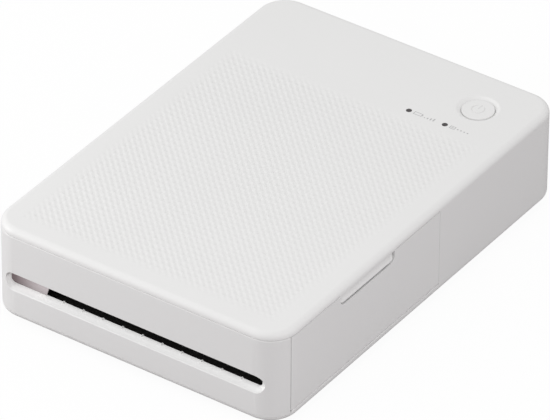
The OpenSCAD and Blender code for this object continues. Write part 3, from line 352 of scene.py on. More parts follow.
class Signal:
    """An output socket that Python's operators build on."""

    def __init__(self, tree: "Tree", socket: bpy.types.NodeSocket) -> None:
        """Wraps a socket of a tree."""
        self.tree = tree
        self.socket = socket

    def maths(self, operation: str, *others: "Value", swap: bool = False) -> "Signal":
        """Adds a Math node on this signal.

        Args:
            operation: The Math node's operation.
            others: Its further values.
            swap: Puts this signal last.

        Returns:
            The node's output.
        """
        values = [*others, self] if swap else [self, *others]
        return self.tree.node("ShaderNodeMath", {"operation": operation}, dict(enumerate(values)))

    def __add__(self, other: "Value") -> "Signal":
        """Sum, from either side."""
        return self.maths("ADD", other)

    def __sub__(self, other: "Value") -> "Signal":
        """Difference."""
        return self.maths("SUBTRACT", other)

    def __rsub__(self, other: "Value") -> "Signal":
        """Difference with this signal on the right."""
        return self.maths("SUBTRACT", other, swap=True)

    def __mul__(self, other: "Value") -> "Signal":
        """Product, from either side."""
        return self.maths("MULTIPLY", other)

    __radd__ = __add__
    __rmul__ = __mul__

    def between(self, low: float, high: float) -> "Signal":
        """Runs smoothly from 0 at low to 1 at high."""
        return self.tree.node("ShaderNodeMapRange", {"interpolation_type": "SMOOTHSTEP"}, {
            "Value": self, "From Min": low, "From Max": high}, "Result")


Value = Union[Signal, float, Sequence[float]]
Sockets = dict[Union[str, int], Value]


class Tree:
    """The nodes of a material or of the world."""

    def __init__(self, tree: bpy.types.NodeTree) -> None:
        """Wraps a tree."""
        self.tree = tree

    def node(self, kind: str, settings: Optional[dict[str, str]] = None, inputs: Optional[Sockets] = None,
             output: Union[str, int] = 0) -> Signal:
        """Adds any node.

        Args:
            kind: The node's type.
            settings: Its properties, which are set first.
            inputs: Values or signals by socket.
            output: The output to hand back.

        Returns:
            That output as a signal.
        """
        node = self.tree.nodes.new(kind)
        for key, value in (settings or {}).items():
            setattr(node, key, value)
        self.feed(node, inputs or {})
        return Signal(self, node.outputs[output])

    def feed(self, node: bpy.types.Node, inputs: Sockets) -> None:
        """Links signals to a node's sockets, and sets the other values.

        Args:
            node: The node.
            inputs: Values or signals by socket.
        """
        for key, value in inputs.items():
            if isinstance(value, Signal):
                self.tree.links.new(value.socket, node.inputs[key])
            else:
                node.inputs[key].default_value = value

    def mix(self, share: Value, first: Value, second: Value) -> Signal:
        """Mixes two colours, by the share of the second one."""
        low, high = [c if isinstance(c, Signal) else (*c[:3], 1.0) for c in (first, second)]
        return self.node("ShaderNodeMix", {"data_type": "RGBA"}, {"Factor": share, 6: low, 7: high}, 2)


class Surface(Tree):
    """A material under construction, with one Principled BSDF."""

    def __init__(self, name: str) -> None:
        """Starts a material.

        Args:
            name: Its name.
        """
        self.material = bpy.data.materials.new(name)
        self.material.use_nodes = True
        super().__init__(self.material.node_tree)

    def paint(self, **values: Value) -> bpy.types.Material:
        """Feeds the shader's sockets, with _ for the spaces in their names, and ends the material."""
        self.feed(self.tree.nodes["Principled BSDF"], {k.replace("_", " "): v for k, v in values.items()})
        return self.material

    def place(self) -> Signal:
        """Object coordinates, in metres."""
        return self.node("ShaderNodeTexCoord", output="Object")

    def along(self, axis: str) -> Signal:
        """One of the object coordinates, by its letter."""
        return self.node("ShaderNodeSeparateXYZ", inputs={"Vector": self.place()}, output=axis)

    def within(self, axis: str, low: float, high: float) -> Signal:
        """Runs smoothly from 0 to 1 between two places along an axis, in millimetres."""
        return self.along(axis).between(low * MM, high * MM)

    def noise(self, size: float, detail: float = 2.0, stretch: Triple = (1.0, 1.0, 1.0)) -> Signal:
        """Adds noise.

        Args:
            size: About the size of its features, in millimetres.
            detail: Its levels of detail.
            stretch: How far it is stretched along the axes.

        Returns:
            The noise, from 0 to 1.
        """
        where = self.node("ShaderNodeMapping", inputs={
            "Vector": self.place(), "Scale": [1.0 / share for share in stretch]})
        return self.node("ShaderNodeTexNoise", inputs={
            "Vector": where, "Scale": 1.0 / (size * MM), "Detail": detail})

    def bump(self, height: Signal, depth: float) -> Signal:
        """Turns a height from 0 to 1 into a normal, for a depth in millimetres."""
        return self.node("ShaderNodeBump", inputs={
            "Height": height, "Distance": depth * MM, "Strength": 1.0})


# ---------------------------------------------------------------- finishes


@dataclass(frozen=True)
class Finish:
    """Moulded plastic with a fine spark-eroded grain and a faint drift of tone.

    The other finishes have other values, and some have another tone, skin or painted glow; one tone is
    painted shade. Sizes are in millimetres, and a depth of zero stands for no relief.
    """

    name: str
    colour: Triple
    roughness: float = 0.5
    grain: float = 0.25
    depth: float = 0.006
    drift: float = 0.02
    drift_size: float = 30.0
    drift_detail: float = 1.0
    detail: float = 2.0
    along: Triple = (1.0, 1.0, 1.0)
    spread: float = 0.08
    metallic: float = 0.0
    coat: float = 0.0

    def toned(self, share: float) -> list[float]:
        """The colour, made darker or paler by a share."""
        return [part * share for part in self.colour]

    def tone(self, surface: Surface) -> Signal:
        """The colour over the surface, with its drift."""
        drift = surface.noise(self.drift_size, self.drift_detail)
        return surface.mix(drift, self.toned(1.0 - self.drift), self.colour)

    def skin(self, surface: Surface) -> Signal:
        """The grain that the roughness and the relief follow."""
        return surface.noise(self.grain, self.detail, self.along)

    def glow(self, surface: Surface) -> Sockets:
        """The shader's values for light of its own."""
        return {}

    def make(self) -> bpy.types.Material:
        """Builds the material.

        Returns:
            The material.
        """
        surface = Surface(self.name)
        grain = self.skin(surface)
        relief = {"Normal": surface.bump(grain, self.depth)} if self.depth else {}
        return surface.paint(Base_Color=self.tone(surface), Metallic=self.metallic, Coat_Weight=self.coat,
                             Roughness=self.roughness + (grain - 0.5) * self.spread,
                             **relief, **self.glow(surface))


@dataclass(frozen=True)
class Metal(Finish):
    """Bare or plated metal, brushed or rolled along one axis."""

    grain: float = 0.3
    depth: float = 0.004
    drift: float = 0.14
    drift_size: float = 9.0
    drift_detail: float = 2.0
    detail: float = 3.0
    along: Triple = (12.0, 1.0, 1.0)
    spread: float = 0.2
    metallic: float = 1.0


@dataclass(frozen=True)
class Rubber(Finish):
    """Ground rubber with a matt, slightly dusty skin."""

    roughness: float = 0.8
    grain: float = 0.12
    depth: float = 0.01
    drift_size: float = 6.0
    detail: float = 3.0
    spread: float = 0.15
    dust: Pair = (0.45, 0.8)
    dust_tone: float = 0.03

    def tone(self, surface: Surface) -> Signal:
        """The colour under a broken film of dust."""
        dust = surface.noise(self.drift_size, self.detail).between(*self.dust)
        return surface.mix(dust, self.colour, [part + self.dust_tone for part in self.colour])


@dataclass(frozen=True)
class Board(Finish):
    """Solder mask over copper tracks."""

    roughness: float = 0.39
    grain: float = 2.5
    depth: float = 0.03
    spread: float = 0.1
    track: Triple = (0.03, 0.2, 0.09)
    edge: Pair = (0.34, 0.3)

    def skin(self, surface: Surface) -> Signal:
        """The tracks, between square cells."""
        return surface.node("ShaderNodeTexVoronoi", {"distance": "CHEBYCHEV"}, {
            "Vector": surface.place(), "Scale": 1.0 / (self.grain * MM)}).between(*self.edge)

    def tone(self, surface: Surface) -> Signal:
        """The mask, and the paler copper under it."""
        return surface.mix(self.skin(surface), self.track, self.colour)


@dataclass(frozen=True)
class Sheet(Finish):
    """Photo paper or film, seen on its faces and on the edges of its layers."""

    grain: float = 4.0
    depth: float = 0.0
    drift: float = 0.14
    spread: float = 0.1
    layer: float = 0.25
    edge: Pair = (-0.4, 0.9)

    def tone(self, surface: Surface) -> Signal:
        """The colour, darker between the layers."""
        turns = surface.along("Z") * (2 * math.pi / (self.layer * MM))
        return surface.mix(turns.maths("SINE").between(*self.edge), self.toned(1.0 - self.drift), self.colour)


@dataclass(frozen=True)
class Lens(Finish):
    """Dark clear plastic of a light window."""

    roughness: float = 0.35
    grain: float = 0.5
    depth: float = 0.0
    spread: float = 0.1
    coat: float = 0.3
    lit: float = 1.25

    def tone(self, surface: Surface) -> Signal:
        """The colour with a faint haze."""
        return surface.mix(self.skin(surface), self.colour, self.toned(self.lit))


@dataclass(frozen=True)
class PaintedShade(Finish):
    """Satin plastic with painted shade: dark at one end, pale at the other, and darkest at its foot, where a
    painted shadow line runs.
    """

    grain: float = 0.3
    depth: float = 0.004
    # The dark colour and the pale one are one plastic, in painted shade and in light
    pale: Triple = (0.68, 0.62, 0.63)
    ends: Pair = (-46.0, -33.0)
    foot: float = 12.27
    top: float = 15.1
    seam: float = 12.77
    base: float = 0.3
    # Colour of the painted shade and of the painted shadow line at the foot
    shade_colour: Triple = (0.02, 0.016, 0.016)

    def tone(self, surface: Surface) -> Signal:
        """Works out the colour, with painted shade towards one end and towards the foot, and a thin painted
        shadow line at the foot.

        Args:
            surface: The material under construction.

        Returns:
            The colour.
        """
        tone = surface.mix(surface.within("X", *self.ends), self.colour, self.pale)
        # Painted shade that deepens towards the foot, and a painted shadow line right at the foot
        deep = 1.0 - surface.within("Z", self.foot, self.top)
        line = 1.0 - surface.within("Z", self.foot, self.seam)
        return surface.mix(deep * self.base + line * (self.base / 2), tone, self.shade_colour)


@dataclass(frozen=True)
class PaintedGlow(Finish):
    """White moulding with a painted glow, stronger a little deeper in from its skin, which stands in for
    light falling on it.
    """

    roughness: float = 0.4
    depth: float = 0.004
    inside: Pair = (-72.9, -71.1)
    ends: Pair = (-37.0, -29.0)
    kept: float = 0.68
    strength: float = 0.27

    def tone(self, surface: Surface) -> Signal:
        """The colour, which follows the grain."""
        return surface.mix(self.skin(surface), self.colour, self.toned(1.0 - self.drift))

    def glow(self, surface: Surface) -> Sockets:
        """Works out the painted glow, of which only a share is kept before the first end.

        Args:
            surface: The material under construction.

        Returns:
            The shader's values for it.
        """
        # Painted light: the glow grows from the skin inward and is weaker towards the slot's closed end
        share = self.kept + surface.within("X", *self.ends) * (1.0 - self.kept)
        light = surface.mix(surface.within("Y", *self.inside) * share, BLACK, self.toned(self.strength))
        return {"Emission Color": light, "Emission Strength": 1.0}


BLACK = (0.0, 0.0, 0.0)
WHITE = (0.86, 0.857, 0.851)
FINISHES = {finish.name: finish for finish in (
    Finish("case_white", WHITE, 0.44),
    # The ledge: whiter than the case and with a painted glow, which stand in for light on it
    PaintedGlow("ledge_white", (0.92, 0.92, 0.915)),
    Finish("button_white", WHITE, 0.38, 0.2, 0.003),
    # Painted shade on the closed end of the slot, darker at its left end and at its foot
    PaintedShade("slot_shade", (0.24, 0.18, 0.19)),
    Finish("guide_black", (0.012, 0.011, 0.010), 0.6, 0.3, 0.01, 0.1),
    Finish("cassette_grey", (0.05, 0.051, 0.055), 0.5, 0.3, 0.01, 0.08),
    Finish("gear_ivory", (0.72, 0.68, 0.55), 0.42, 0.4, 0.004, 0.05),
    Lens("light_smoke", (0.028, 0.022, 0.022)),
    Finish("battery_wrap", (0.05, 0.1, 0.2), 0.3, 1.5, 0.03, 0.1),
    Board("board_green", (0.012, 0.115, 0.05)),
    Finish("plate_blank", (0.62, 0.62, 0.61), 0.35, 0.2, 0.002, 0.03),
    Rubber("foot_rubber", (0.06, 0.06, 0.062)),
    Rubber("roller_rubber", (0.02, 0.02, 0.021), 0.7),
    Metal("steel", (0.62, 0.62, 0.63), 0.3),
    Metal("sheet_steel", (0.55, 0.56, 0.57), 0.42, along=(1.0, 10.0, 1.0)),
    Metal("chrome", (0.7, 0.7, 0.71), 0.18, 0.6, along=(1.0, 8.0, 1.0)),
    Metal("head_aluminium", (0.66, 0.67, 0.68), 0.38),
    Finish("head_ceramic", (0.3, 0.29, 0.27), 0.25, 0.5, 0.003, 0.1),
    Metal("brass", (0.7, 0.5, 0.2), 0.3),
    Sheet("paper", (0.85, 0.85, 0.84), 0.35),
    Sheet("ribbon", (0.05, 0.02, 0.04), 0.2, drift=0.4, layer=0.2),
    Sheet("cable", (0.5, 0.33, 0.12), 0.35, drift=0.2, layer=0.6),
    Finish("label_ink", (0.54, 0.54, 0.54), 0.6, 0.2, 0.001, 0.04))}


@cache
def material(name: str) -> bpy.types.Material:
    """The material of a finish, which is built once."""
    return FINISHES[name].make()


# ---------------------------------------------------------------- the case


@dataclass
class CaseForm:
    """Outer form of the case, the planes that its shells meet at, and what two of them share."""

    width: float = 102.2
    length: float = 145.8
    height: float = 32.9
    foot: float = 1.7
    corner: float = 9.1
    top_edge: float = 2.1
    bottom_edge: float = 2.0
    wall: float = 2.0
    seam: float = 0.07
    floor_top: float = 3.5
    top_seam: float = 30.5
    split_behind: float = 6.55
    door_length: float = 75.05
    corner_steps: int = 24
    edge_steps: int = 8
    skin: float = 0.03
    sharp: float = 40.0
    notch: Pair = (-42.2, -14.6)
    notch_bottom: float = 26.7
    notch_corner: float = 2.3
    posts: Places = ((-44.5, -67.2), (46.2, -66.0), (-44.0, 64.5), (44.0, 64.5))
    post_radius: float = 1.8
    post_split: float = 10.0
    arms: Pair = (-56.35, -1.3)
    latches: Pair = (-59.35, 1.7)
    latch_width: float = 6.0
    lights: Places = ((16.8, 43.2), (29.5, 43.2))
    button: Pair = (32.8, 55.9)
    feet: Places = ((-39.1, -60.9), (-39.1, 60.9), (39.1, -60.9), (39.1, 60.9))

    def __post_init__(self) -> None:
        """Works out the sides, the underside of the top wall, and the seams round the door."""
        self.right = self.width / 2
        self.back = self.length / 2
        self.front = -self.back
        self.ceiling = self.height - self.wall
        self.split = self.front + self.split_behind
        self.door_end = self.split + self.door_length

    def block(self) -> Piece:
        """Adds the whole outer form as one solid.

        Returns:
            The solid.
        """
        piece = Bench.box((-self.right, self.front, self.foot), (self.right, self.back, self.height))
        Bench.round_edges(piece, lambda a, b: abs(b.z - a.z) > PAST, self.corner, self.corner_steps)
        Bench.round_edges(piece, lambda a, b: min(a.z, b.z) > self.height - NEAR,
                          self.top_edge, self.edge_steps)
        Bench.round_edges(piece, lambda a, b: max(a.z, b.z) < self.foot + NEAR,
                          self.bottom_edge, self.edge_steps)
        return piece

    def inner(self, inset: float, low: float = -FAR, high: float = FAR) -> Piece:
        """Adds an upright block that keeps an inset from the outer form."""
        return Bench.box((-self.right + inset, self.front + inset, low),
                         (self.right - inset, self.back - inset, high), self.corner - inset,
                         steps=self.corner_steps)

    def across(self, y0: float = -FAR, y1: float = FAR, z0: float = -FAR, z1: float = FAR,
               x0: float = -FAR, x1: float = FAR) -> Piece:
        """A cutter box between the planes that are given."""
        return Bench.box((x0, y0, z0), (x1, y1, z1))

    def depth(self, at: Vector) -> float:
        """Works out how far a point lies outside the outer form.

        Args:
            at: The point.

        Returns:
            The distance, below zero inside the form.
        """
        dx = abs(at.x) - (self.right - self.corner)
        dy = abs(at.y) - (self.back - self.corner)
        flat = math.hypot(max(dx, 0), max(dy, 0)) + min(max(dx, dy), 0) - self.corner
        middle = (self.height + self.foot) / 2
        edge = self.top_edge if at.z > middle else self.bottom_edge
        level = abs(at.z - middle) - (self.height - self.foot) / 2
        a, b = flat + edge, level + edge
        return math.hypot(max(a, 0), max(b, 0)) + min(max(a, b), 0) - edge

    def lip(self, piece: Piece, chosen: EdgeTest, radius: float, steps: int = 3) -> None:
        """Rounds the sharp edges on the outer form that a test on their two ends picks."""
        Bench.round_edges(piece, lambda a, b: max(abs(self.depth(a)), abs(self.depth(b))) < self.skin
                          and chosen(a, b), radius, steps, self.sharp)


@dataclass
class Relief:
    """Raised lattice on the top of the case, a sum of waves that fades out at its border.

    Each wave has its turns per pitch across and along, its height, and where it starts in degrees.
    """

    x0: float = -45.5
    x1: float = 45.4
    y0: float = -67.0
    y1: float = 40.5
    pitch: float = 2.291
    waves: tuple[tuple[int, int, float, float], ...] = (
        (1, 1, 0.064, 77.0), (1, -1, 0.07, -5.0), (1, 0, 0.025, 183.0), (0, 1, 0.033, 65.0),
        (2, 0, 0.028, -145.0))
    level: float = 0.08
    fade: float = 5.0
    cuts: tuple[int, int] = (6, 39)
    upright: float = 0.999

    def rise(self, x: float, y: float) -> float:
        """Works out the height of the surface above the flat top.

        Args:
            x: Place across.
            y: Place along.

        Returns:
            The height in millimetres.
        """
        turn = 2 * math.pi / self.pitch
        knob = sum(height * math.cos(turn * (across * x + along * y) - math.radians(start))
                   for across, along, height, start in self.waves)
        inside = min(x - self.x0, self.x1 - x, y - self.y0, self.y1 - y)
        share = min(max(inside / self.fade, 0.0), 1.0)
        return share * share * (3 - 2 * share) * (knob - self.level)

    def holds(self, at: Vector, top: float, slack: float = 0.0) -> bool:
        """Whether a point of the flat top lies within the border."""
        return at.z > top - NEAR and self.x0 - slack < at.x < self.x1 + slack \
            and self.y0 - slack < at.y < self.y1 + slack

    def mark_out(self, piece: Piece, top: float) -> None:
        """Splits the flat top along the border.

        Args:
            piece: The piece with the flat top.
            top: Its height.
        """
        for place, across in ((self.x0, 1), (self.x1, 1), (self.y0, 0), (self.y1, 0)):
            Bench.select(piece, Pick.FACE, lambda face: face.normal.z > self.upright
                         and face.calc_center_median().z > top - NEAR)
            normal = (across, 1 - across, 0)
            bpy.ops.mesh.bisect(plane_co=(place * across, place * (1 - across), top), plane_no=normal,
                                use_fill=False)
            bpy.ops.object.mode_set(mode="OBJECT")

    def raise_on(self, piece: Piece, top: float) -> None:
        """Divides the faces within the border and lifts their points.

        Args:
            piece: The piece with the flat top.
            top: Its height.
        """
        Bench.select(piece, Pick.FACE, lambda face: face.normal.z > self.upright
                     and all(self.holds(corner.co, top, NEAR) for corner in face.verts))
        for cuts in self.cuts:
            bpy.ops.mesh.subdivide(number_cuts=cuts, smoothness=0.0)
        bpy.ops.object.mode_set(mode="OBJECT")
        for vertex in piece.data.vertices:
            if self.holds(vertex.co, top):
                vertex.co.z += self.rise(vertex.co.x, vertex.co.y)


@dataclass
class Part:
    """A piece that is modelled here, with the record's material slot where its finish isn't one."""

    form: CaseForm
    finish: str = "case_white"
    slot: Optional[str] = None

    def dress(self, piece: Piece) -> None:
        """Gives the piece its finish and fixes it to its body.

        Args:
            piece: The built piece.
        """
        piece.data.materials.clear()
        piece.data.materials.append(material(self.finish))
        self.fix(piece)


@dataclass
class UpperCase(Part):
    """Top shell with the rear walls, posts, bosses, catches and the wall behind the notch."""

    relief: Relief = field(default_factory=Relief)
    lip: float = 0.1
    groove_high: float = 0.2
    groove_deep: float = 0.3
    groove_end: float = 0.3
    button_hole: float = 5.14
    dish: float = 6.5
    dish_lip: float = 0.2
    dish_depth: float = 0.88
    dish_past: float = 0.02
    dish_slack: float = 0.05
    light_hole: float = 0.92
    socket: Pair = (-3.9, 24.4)
    socket_size: Pair = (9.6, 3.8)
    fill_gap: float = 0.5
    fill_under: float = 0.7
    fill_front: float = 0.14
    fill_back: float = 3.1
    fill_inset: float = 0.15
    scoop: float = 4.74
    scoop_depth: float = 0.8
    scoop_top: float = 0.35
    bosses: Places = ((-12.9, 39.4), (-12.9, 66.4), (43.1, 39.4), (37.1, 66.4))
    boss_foot: float = 27.2
    screw_hole: float = 0.9
    screw_depth: float = 3.0
    trap: float = 0.7
    trap_gap: float = 0.05
    trap_foot: float = 29.8
    trap_end: float = 1.0
    trap_turn: float = 2.0
    catch: Pair = (44.0, 45.4)
    catch_foot: float = 28.1

    def shell(self) -> Piece:
        """Cuts the openings into the outer form.

        Returns:
            The open shell.
        """
        form = self.form
        under = form.ceiling - PAST
        piece = form.block()
        self.relief.mark_out(piece, form.height)
        Bench.cut(piece, form.inner(form.wall, high=form.ceiling), form.across(z1=form.floor_top + form.seam),
                  form.across(y1=form.split + form.seam, z1=form.top_seam),
                  form.across(form.split, form.door_end, z1=form.top_seam, x0=form.right - form.wall - PAST),
                  self.groove(),
                  Bench.rod((*form.button, form.height - self.dish_depth), self.dish_depth + self.dish_past,
                            self.button_hole, self.dish, sides=Sides.BUTTON),
                  Bench.rod((*form.button, under), form.wall + PAST, self.button_hole, sides=Sides.BUTTON),
                  *Bench.repeat(Bench.rod((0, 0, under), form.wall + 2 * PAST, self.light_hole), form.lights))
        (x, z), (wide, high) = self.socket, self.socket_size
        return Bench.cut(piece, Bench.box(
            (x - wide / 2, form.back - form.wall - PAST, z - high / 2),
            (x + wide / 2, form.back + PAST, z + high / 2), high / 2 - HAIR, Axis.Y))

    def groove(self) -> Piece:
        """Adds the cutter for the shadow line over the front panel and the door.

        Returns:
            The cutter, which is left out at the notch.
        """
        form, end = self.form, self.groove_end
        low, high = form.top_seam - self.groove_high, form.top_seam + self.groove_high
        return Bench.cut(form.across(y1=form.door_end, z0=low, z1=high),
                         form.inner(self.groove_deep, low - PAST, high + PAST),
                         form.across(form.split + form.seam, x1=0),
                         form.across(form.notch[0] - end, form.notch[1] + end, x0=0))

    def notch_fill(self) -> Piece:
        """Adds the scooped wall that closes the finger notch.

        Returns:
            The wall.
        """
        form, gap = self.form, self.fill_gap
        piece = Bench.box((form.right - self.fill_back, form.notch[0] + self.fill_front,
                           form.notch_bottom + self.fill_under),
                          (form.right - self.fill_inset, form.notch[1] - gap, form.height))
        Bench.round_edges(piece, lambda a, b: abs(b.x - a.x) > PAST and a.z < form.ceiling,
                          form.notch_corner - gap, form.edge_steps)
        middle = (form.right - self.scoop_depth + self.scoop, form.split, form.top_seam - self.scoop_top)
        return Bench.cut(piece, Bench.rod(middle, form.door_length, self.scoop, axis=Axis.Y,
                                          sides=Sides.SCOOP), form.across(z0=form.ceiling + SUNK))

    def inside(self) -> list[Piece]:
        """Adds the posts, bosses and catches under the top wall.

        Returns:
            The solids.
        """
        form, half = self.form, self.form.latch_width / 2
        top = form.ceiling + SUNK
        parts = Bench.repeat(Bench.box((self.catch[0], -half, self.catch_foot), (self.catch[1], half, top)),
                             [(0, y) for y in form.latches])
        for foot, places in ((form.post_split, form.posts), (self.boss_foot, self.bosses)):
            hole = Bench.rod((0, 0, foot - PAST), PAST + self.screw_depth, self.screw_hole, sides=Sides.HOLE)
            parts += Bench.repeat(Bench.cut(Bench.rod((0, 0, foot), top - foot, form.post_radius), hole),
                                  places)
        return parts

    def on_dish(self, a: Vector, b: Vector) -> bool:
        """Whether an edge is the outer rim of the dish round the button."""
        return min(a.z, b.z) > self.form.height - NEAR and all(
            abs(math.dist(end.xy, self.form.button) - self.dish) < self.dish_slack for end in (a, b))

    def light_trap(self) -> Piece:
        """Adds a rim behind the seams of the front panel and the door, which keeps light out."""
        form, outside = self.form, self.form.wall + self.trap_gap
        return Bench.cut(form.inner(outside, self.trap_foot, form.ceiling + SUNK),
                         form.inner(outside + self.trap), form.across(form.door_end - self.trap_end),
                         form.across(form.split + self.trap_turn, x1=0))

    def build(self) -> Piece:
        """Builds the piece.

        Returns:
            The finished shell.
        """
        form = self.form
        piece = self.shell()
        form.lip(piece, lambda a, b: abs((a.z + b.z) / 2 - form.top_seam) > NEAR, self.lip)
        Bench.round_edges(piece, self.on_dish, self.dish_lip, 4)
        Bench.join(piece, self.notch_fill(), self.light_trap(), *self.inside())
        self.relief.raise_on(piece, form.height)
        return Bench.finish(piece, "upper_case_shell")

    def fix(self, piece: Piece) -> None:
        """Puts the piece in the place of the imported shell."""
        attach(piece, "case")
        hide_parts("upper_case")


@dataclass
class FrontPanel(Part):
    """Front piece with the exit slot, its rounded ledge and its ribs."""

    opening: Pair = (-45.4, 45.6)
    slot_low: float = 12.15
    slot_high: float = 17.4
    slot_steps: int = 16
    mouth: Pair = (-31.2, 43.6)
    mouth_high: float = 16.9
    mouth_lean: float = 1.5
    mouth_round: Pair = (1.5, 1.8)
    mouth_steps: int = 6
    ledge: float = 3.2
    end_wall: float = 0.35
    ledge_slope: float = 0.13
    ledge_round: float = 2.0
    ledge_drop: float = 0.5
    ledge_reach: float = 1.0
    brow_round: float = 0.3
    depths: tuple[float, ...] = (0.0, 0.03, 0.1, 0.2, 0.3, 0.45, 0.65, 0.9, 1.2, 1.6)
    frame_left: float = 2.5
    frame_right: float = 1.8
    frame_over: float = 1.6
    frame_inset: float = 1.0
    facing: float = 0.9
    lip: float = 0.1
    top_lip: float = 0.4
    rib_count: int = 10
    rib_pitch: float = 6.98
    rib_middle: float = 5.0
    rib_height: float = 0.42
    rib_start: float = 0.1
    rib_length: float = 0.9
    rib_gap: float = 0.02

    @property
    def radius(self) -> float:
        """Radius of the slot's ends."""
        return (self.slot_high - self.slot_low) / 2

    def ribs(self) -> list[Piece]:
        """Adds ribs that rise towards the back edge of the ledge.

        Returns:
            The ribs.
        """
        start = self.form.front + self.ledge - self.rib_gap - self.rib_length
        first = self.rib_middle - (self.rib_count - 1) / 2 * self.rib_pitch
        rib = Bench.rod((0, start, self.slot_low), self.rib_length, self.rib_start, self.rib_height,
                        Axis.Y, Sides.HOLE)
        return Bench.repeat(rib, [(first + k * self.rib_pitch, 0) for k in range(self.rib_count)])

    @staticmethod
    def fillet(depth: float, reach: float, rise: float) -> float:
        """How far an edge, rounded down to a reach, has opened at a depth behind the skin."""
        share = min(max((reach - max(depth, 0.0)) / reach, 0.0), 1.0)
        return rise * (1.0 - math.sqrt(1.0 - share * share))

    def slot_cutter(self) -> Piece:
        """Adds the slot as a solid.

        Returns:
            A solid with round ends, a widely rounded lower edge and a crisp upper one.
        """
        middle = (self.slot_high + self.slot_low) / 2
        back = self.ledge - self.end_wall
        ends = ((self.opening[0] + self.radius, 90.0), (self.opening[1] - self.radius, -90.0))
        rings = []
        for depth in (-PAST, *self.depths, self.ledge_round, back):
            low = self.fillet(depth, self.ledge_round, self.ledge_drop) \
                + self.ledge_slope * (back - max(depth, 0.0))
            high = self.fillet(depth, self.brow_round, self.brow_round)
            ring = []
            for centre, start in ends:
                for step in range(self.slot_steps + 1):
                    turn = math.radians(start + 180.0 * step / self.slot_steps)
                    up = (1 + math.sin(turn)) / 2
                    out = self.radius + low * (1 - up) + high * up
                    ring.append((centre + out * math.cos(turn), self.form.front + depth,
                                 middle + out * math.sin(turn)))
            rings.append(ring)
        return Bench.loft(rings)

    def mouth_cutter(self) -> Piece:
        """Adds the opening at the back of the slot as a solid.

        Returns:
            A solid with a leaning left end and two rounded corners at the right.
        """
        (left, right), (under, over) = self.mouth, self.mouth_round
        low, high = self.slot_low, self.mouth_high
        outline = [(left - self.mouth_lean, low)]
        for radius, middle, start in ((under, low + under, -90), (over, high - over, 0)):
            for step in range(self.mouth_steps + 1):
                turn = math.radians(start + 90 * step / self.mouth_steps)
                outline.append((right - radius + radius * math.cos(turn), middle + radius * math.sin(turn)))
        outline.append((left, high))
        ends = (self.form.front - PAST, self.form.front + self.ledge + PAST)
        return Bench.loft([[(x, y, z) for x, z in outline] for y in ends])

    def build(self) -> Piece:
        """Builds the piece.

        Returns:
            The finished panel.
        """
        form = self.form
        high = form.top_seam - form.seam
        piece = Bench.cut(form.block(), form.inner(form.wall))
        Bench.keep(piece, form.across(y1=form.split, z0=form.floor_top + form.seam, z1=high))
        form.lip(piece, lambda a, b: min(a.z, b.z) > high - NEAR, self.top_lip, 4)
        form.lip(piece, lambda a, b: max(a.z, b.z) < high - NEAR, self.lip)
        surround = Bench.box((self.opening[0] - self.frame_left, form.front + self.frame_inset,
                              self.slot_low - self.frame_over),
                             (self.opening[1] + self.frame_right, form.front + self.ledge,
                              self.slot_high + self.frame_over))
        Bench.add(piece, Bench.keep(surround, form.inner(self.frame_inset)))
        Bench.cut(piece, self.slot_cutter(), self.mouth_cutter())
        return Bench.finish(Bench.join(piece, *self.ribs()), "front_panel_shell")

    def dress(self, piece: Piece) -> None:
        """Dresses the panel, and its ledge in a finish of its own, which is whiter and carries a painted
        glow.

        Args:
            piece: The built panel.
        """
        super().dress(piece)
        piece.data.materials.append(material("ledge_white"))
        for face in piece.data.polygons:
            face.material_index = int(self.on_ledge(face))

    def on_ledge(self, face: bpy.types.MeshPolygon) -> bool:
        """Says whether a face belongs to the ledge, which turns up at the slot's ends.

        Args:
            face: A face of the finished panel.

        Returns:
            Whether it does.
        """
        x, y, z = face.center / MM
        y -= self.form.front
        left, right = self.opening
        if z > self.slot_low + 2 * NEAR and left + self.radius < x < right - self.radius:
            return False
        if face.normal.y < -self.facing:
            return abs(y - self.ledge + self.end_wall) < 2 * NEAR
        return 2 * NEAR < y < self.ledge and left - self.ledge_reach < x < right + self.ledge_reach \
            and self.slot_low - self.ledge_reach < z < self.slot_low + self.radius

    def fix(self, piece: Piece) -> None:
        """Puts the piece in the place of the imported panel."""
        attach(piece, "case")
        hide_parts("front_panel")


@dataclass
class SlotEndWall(Part):
    """Facing of the closed left end of the slot, which ends in a rounded edge."""

    # Its colour is painted shade
    finish: str = "slot_shade"
    slot: str = "case_white"
    left: float = -44.95
    right: float = -30.9
    lean: float = 1.5
    low: float = 12.3
    high: float = 17.2
    depth: float = 2.83
    thickness: float = 0.16
    edge: float = 0.14

    def build(self) -> Piece:
        """Builds the piece.

        Returns:
            The finished facing.
        """
        back, foot = self.form.front + self.depth, self.right - self.lean
        outline = [(self.left, self.low), (foot, self.low), (self.right, self.high), (self.left, self.high)]
        piece = Bench.loft([[(x, y, z) for x, z in outline] for y in (back - self.thickness, back)])
        Bench.round_edges(piece, lambda a, b: min(a.x, b.x) > foot - NEAR and max(a.y, b.y) < back - NEAR,
                          self.edge, 4)
        return Bench.finish(piece, "slot_end_wall")

    def fix(self, piece: Piece) -> None:
        """Fixes the facing in the slot."""
        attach(piece, "case")


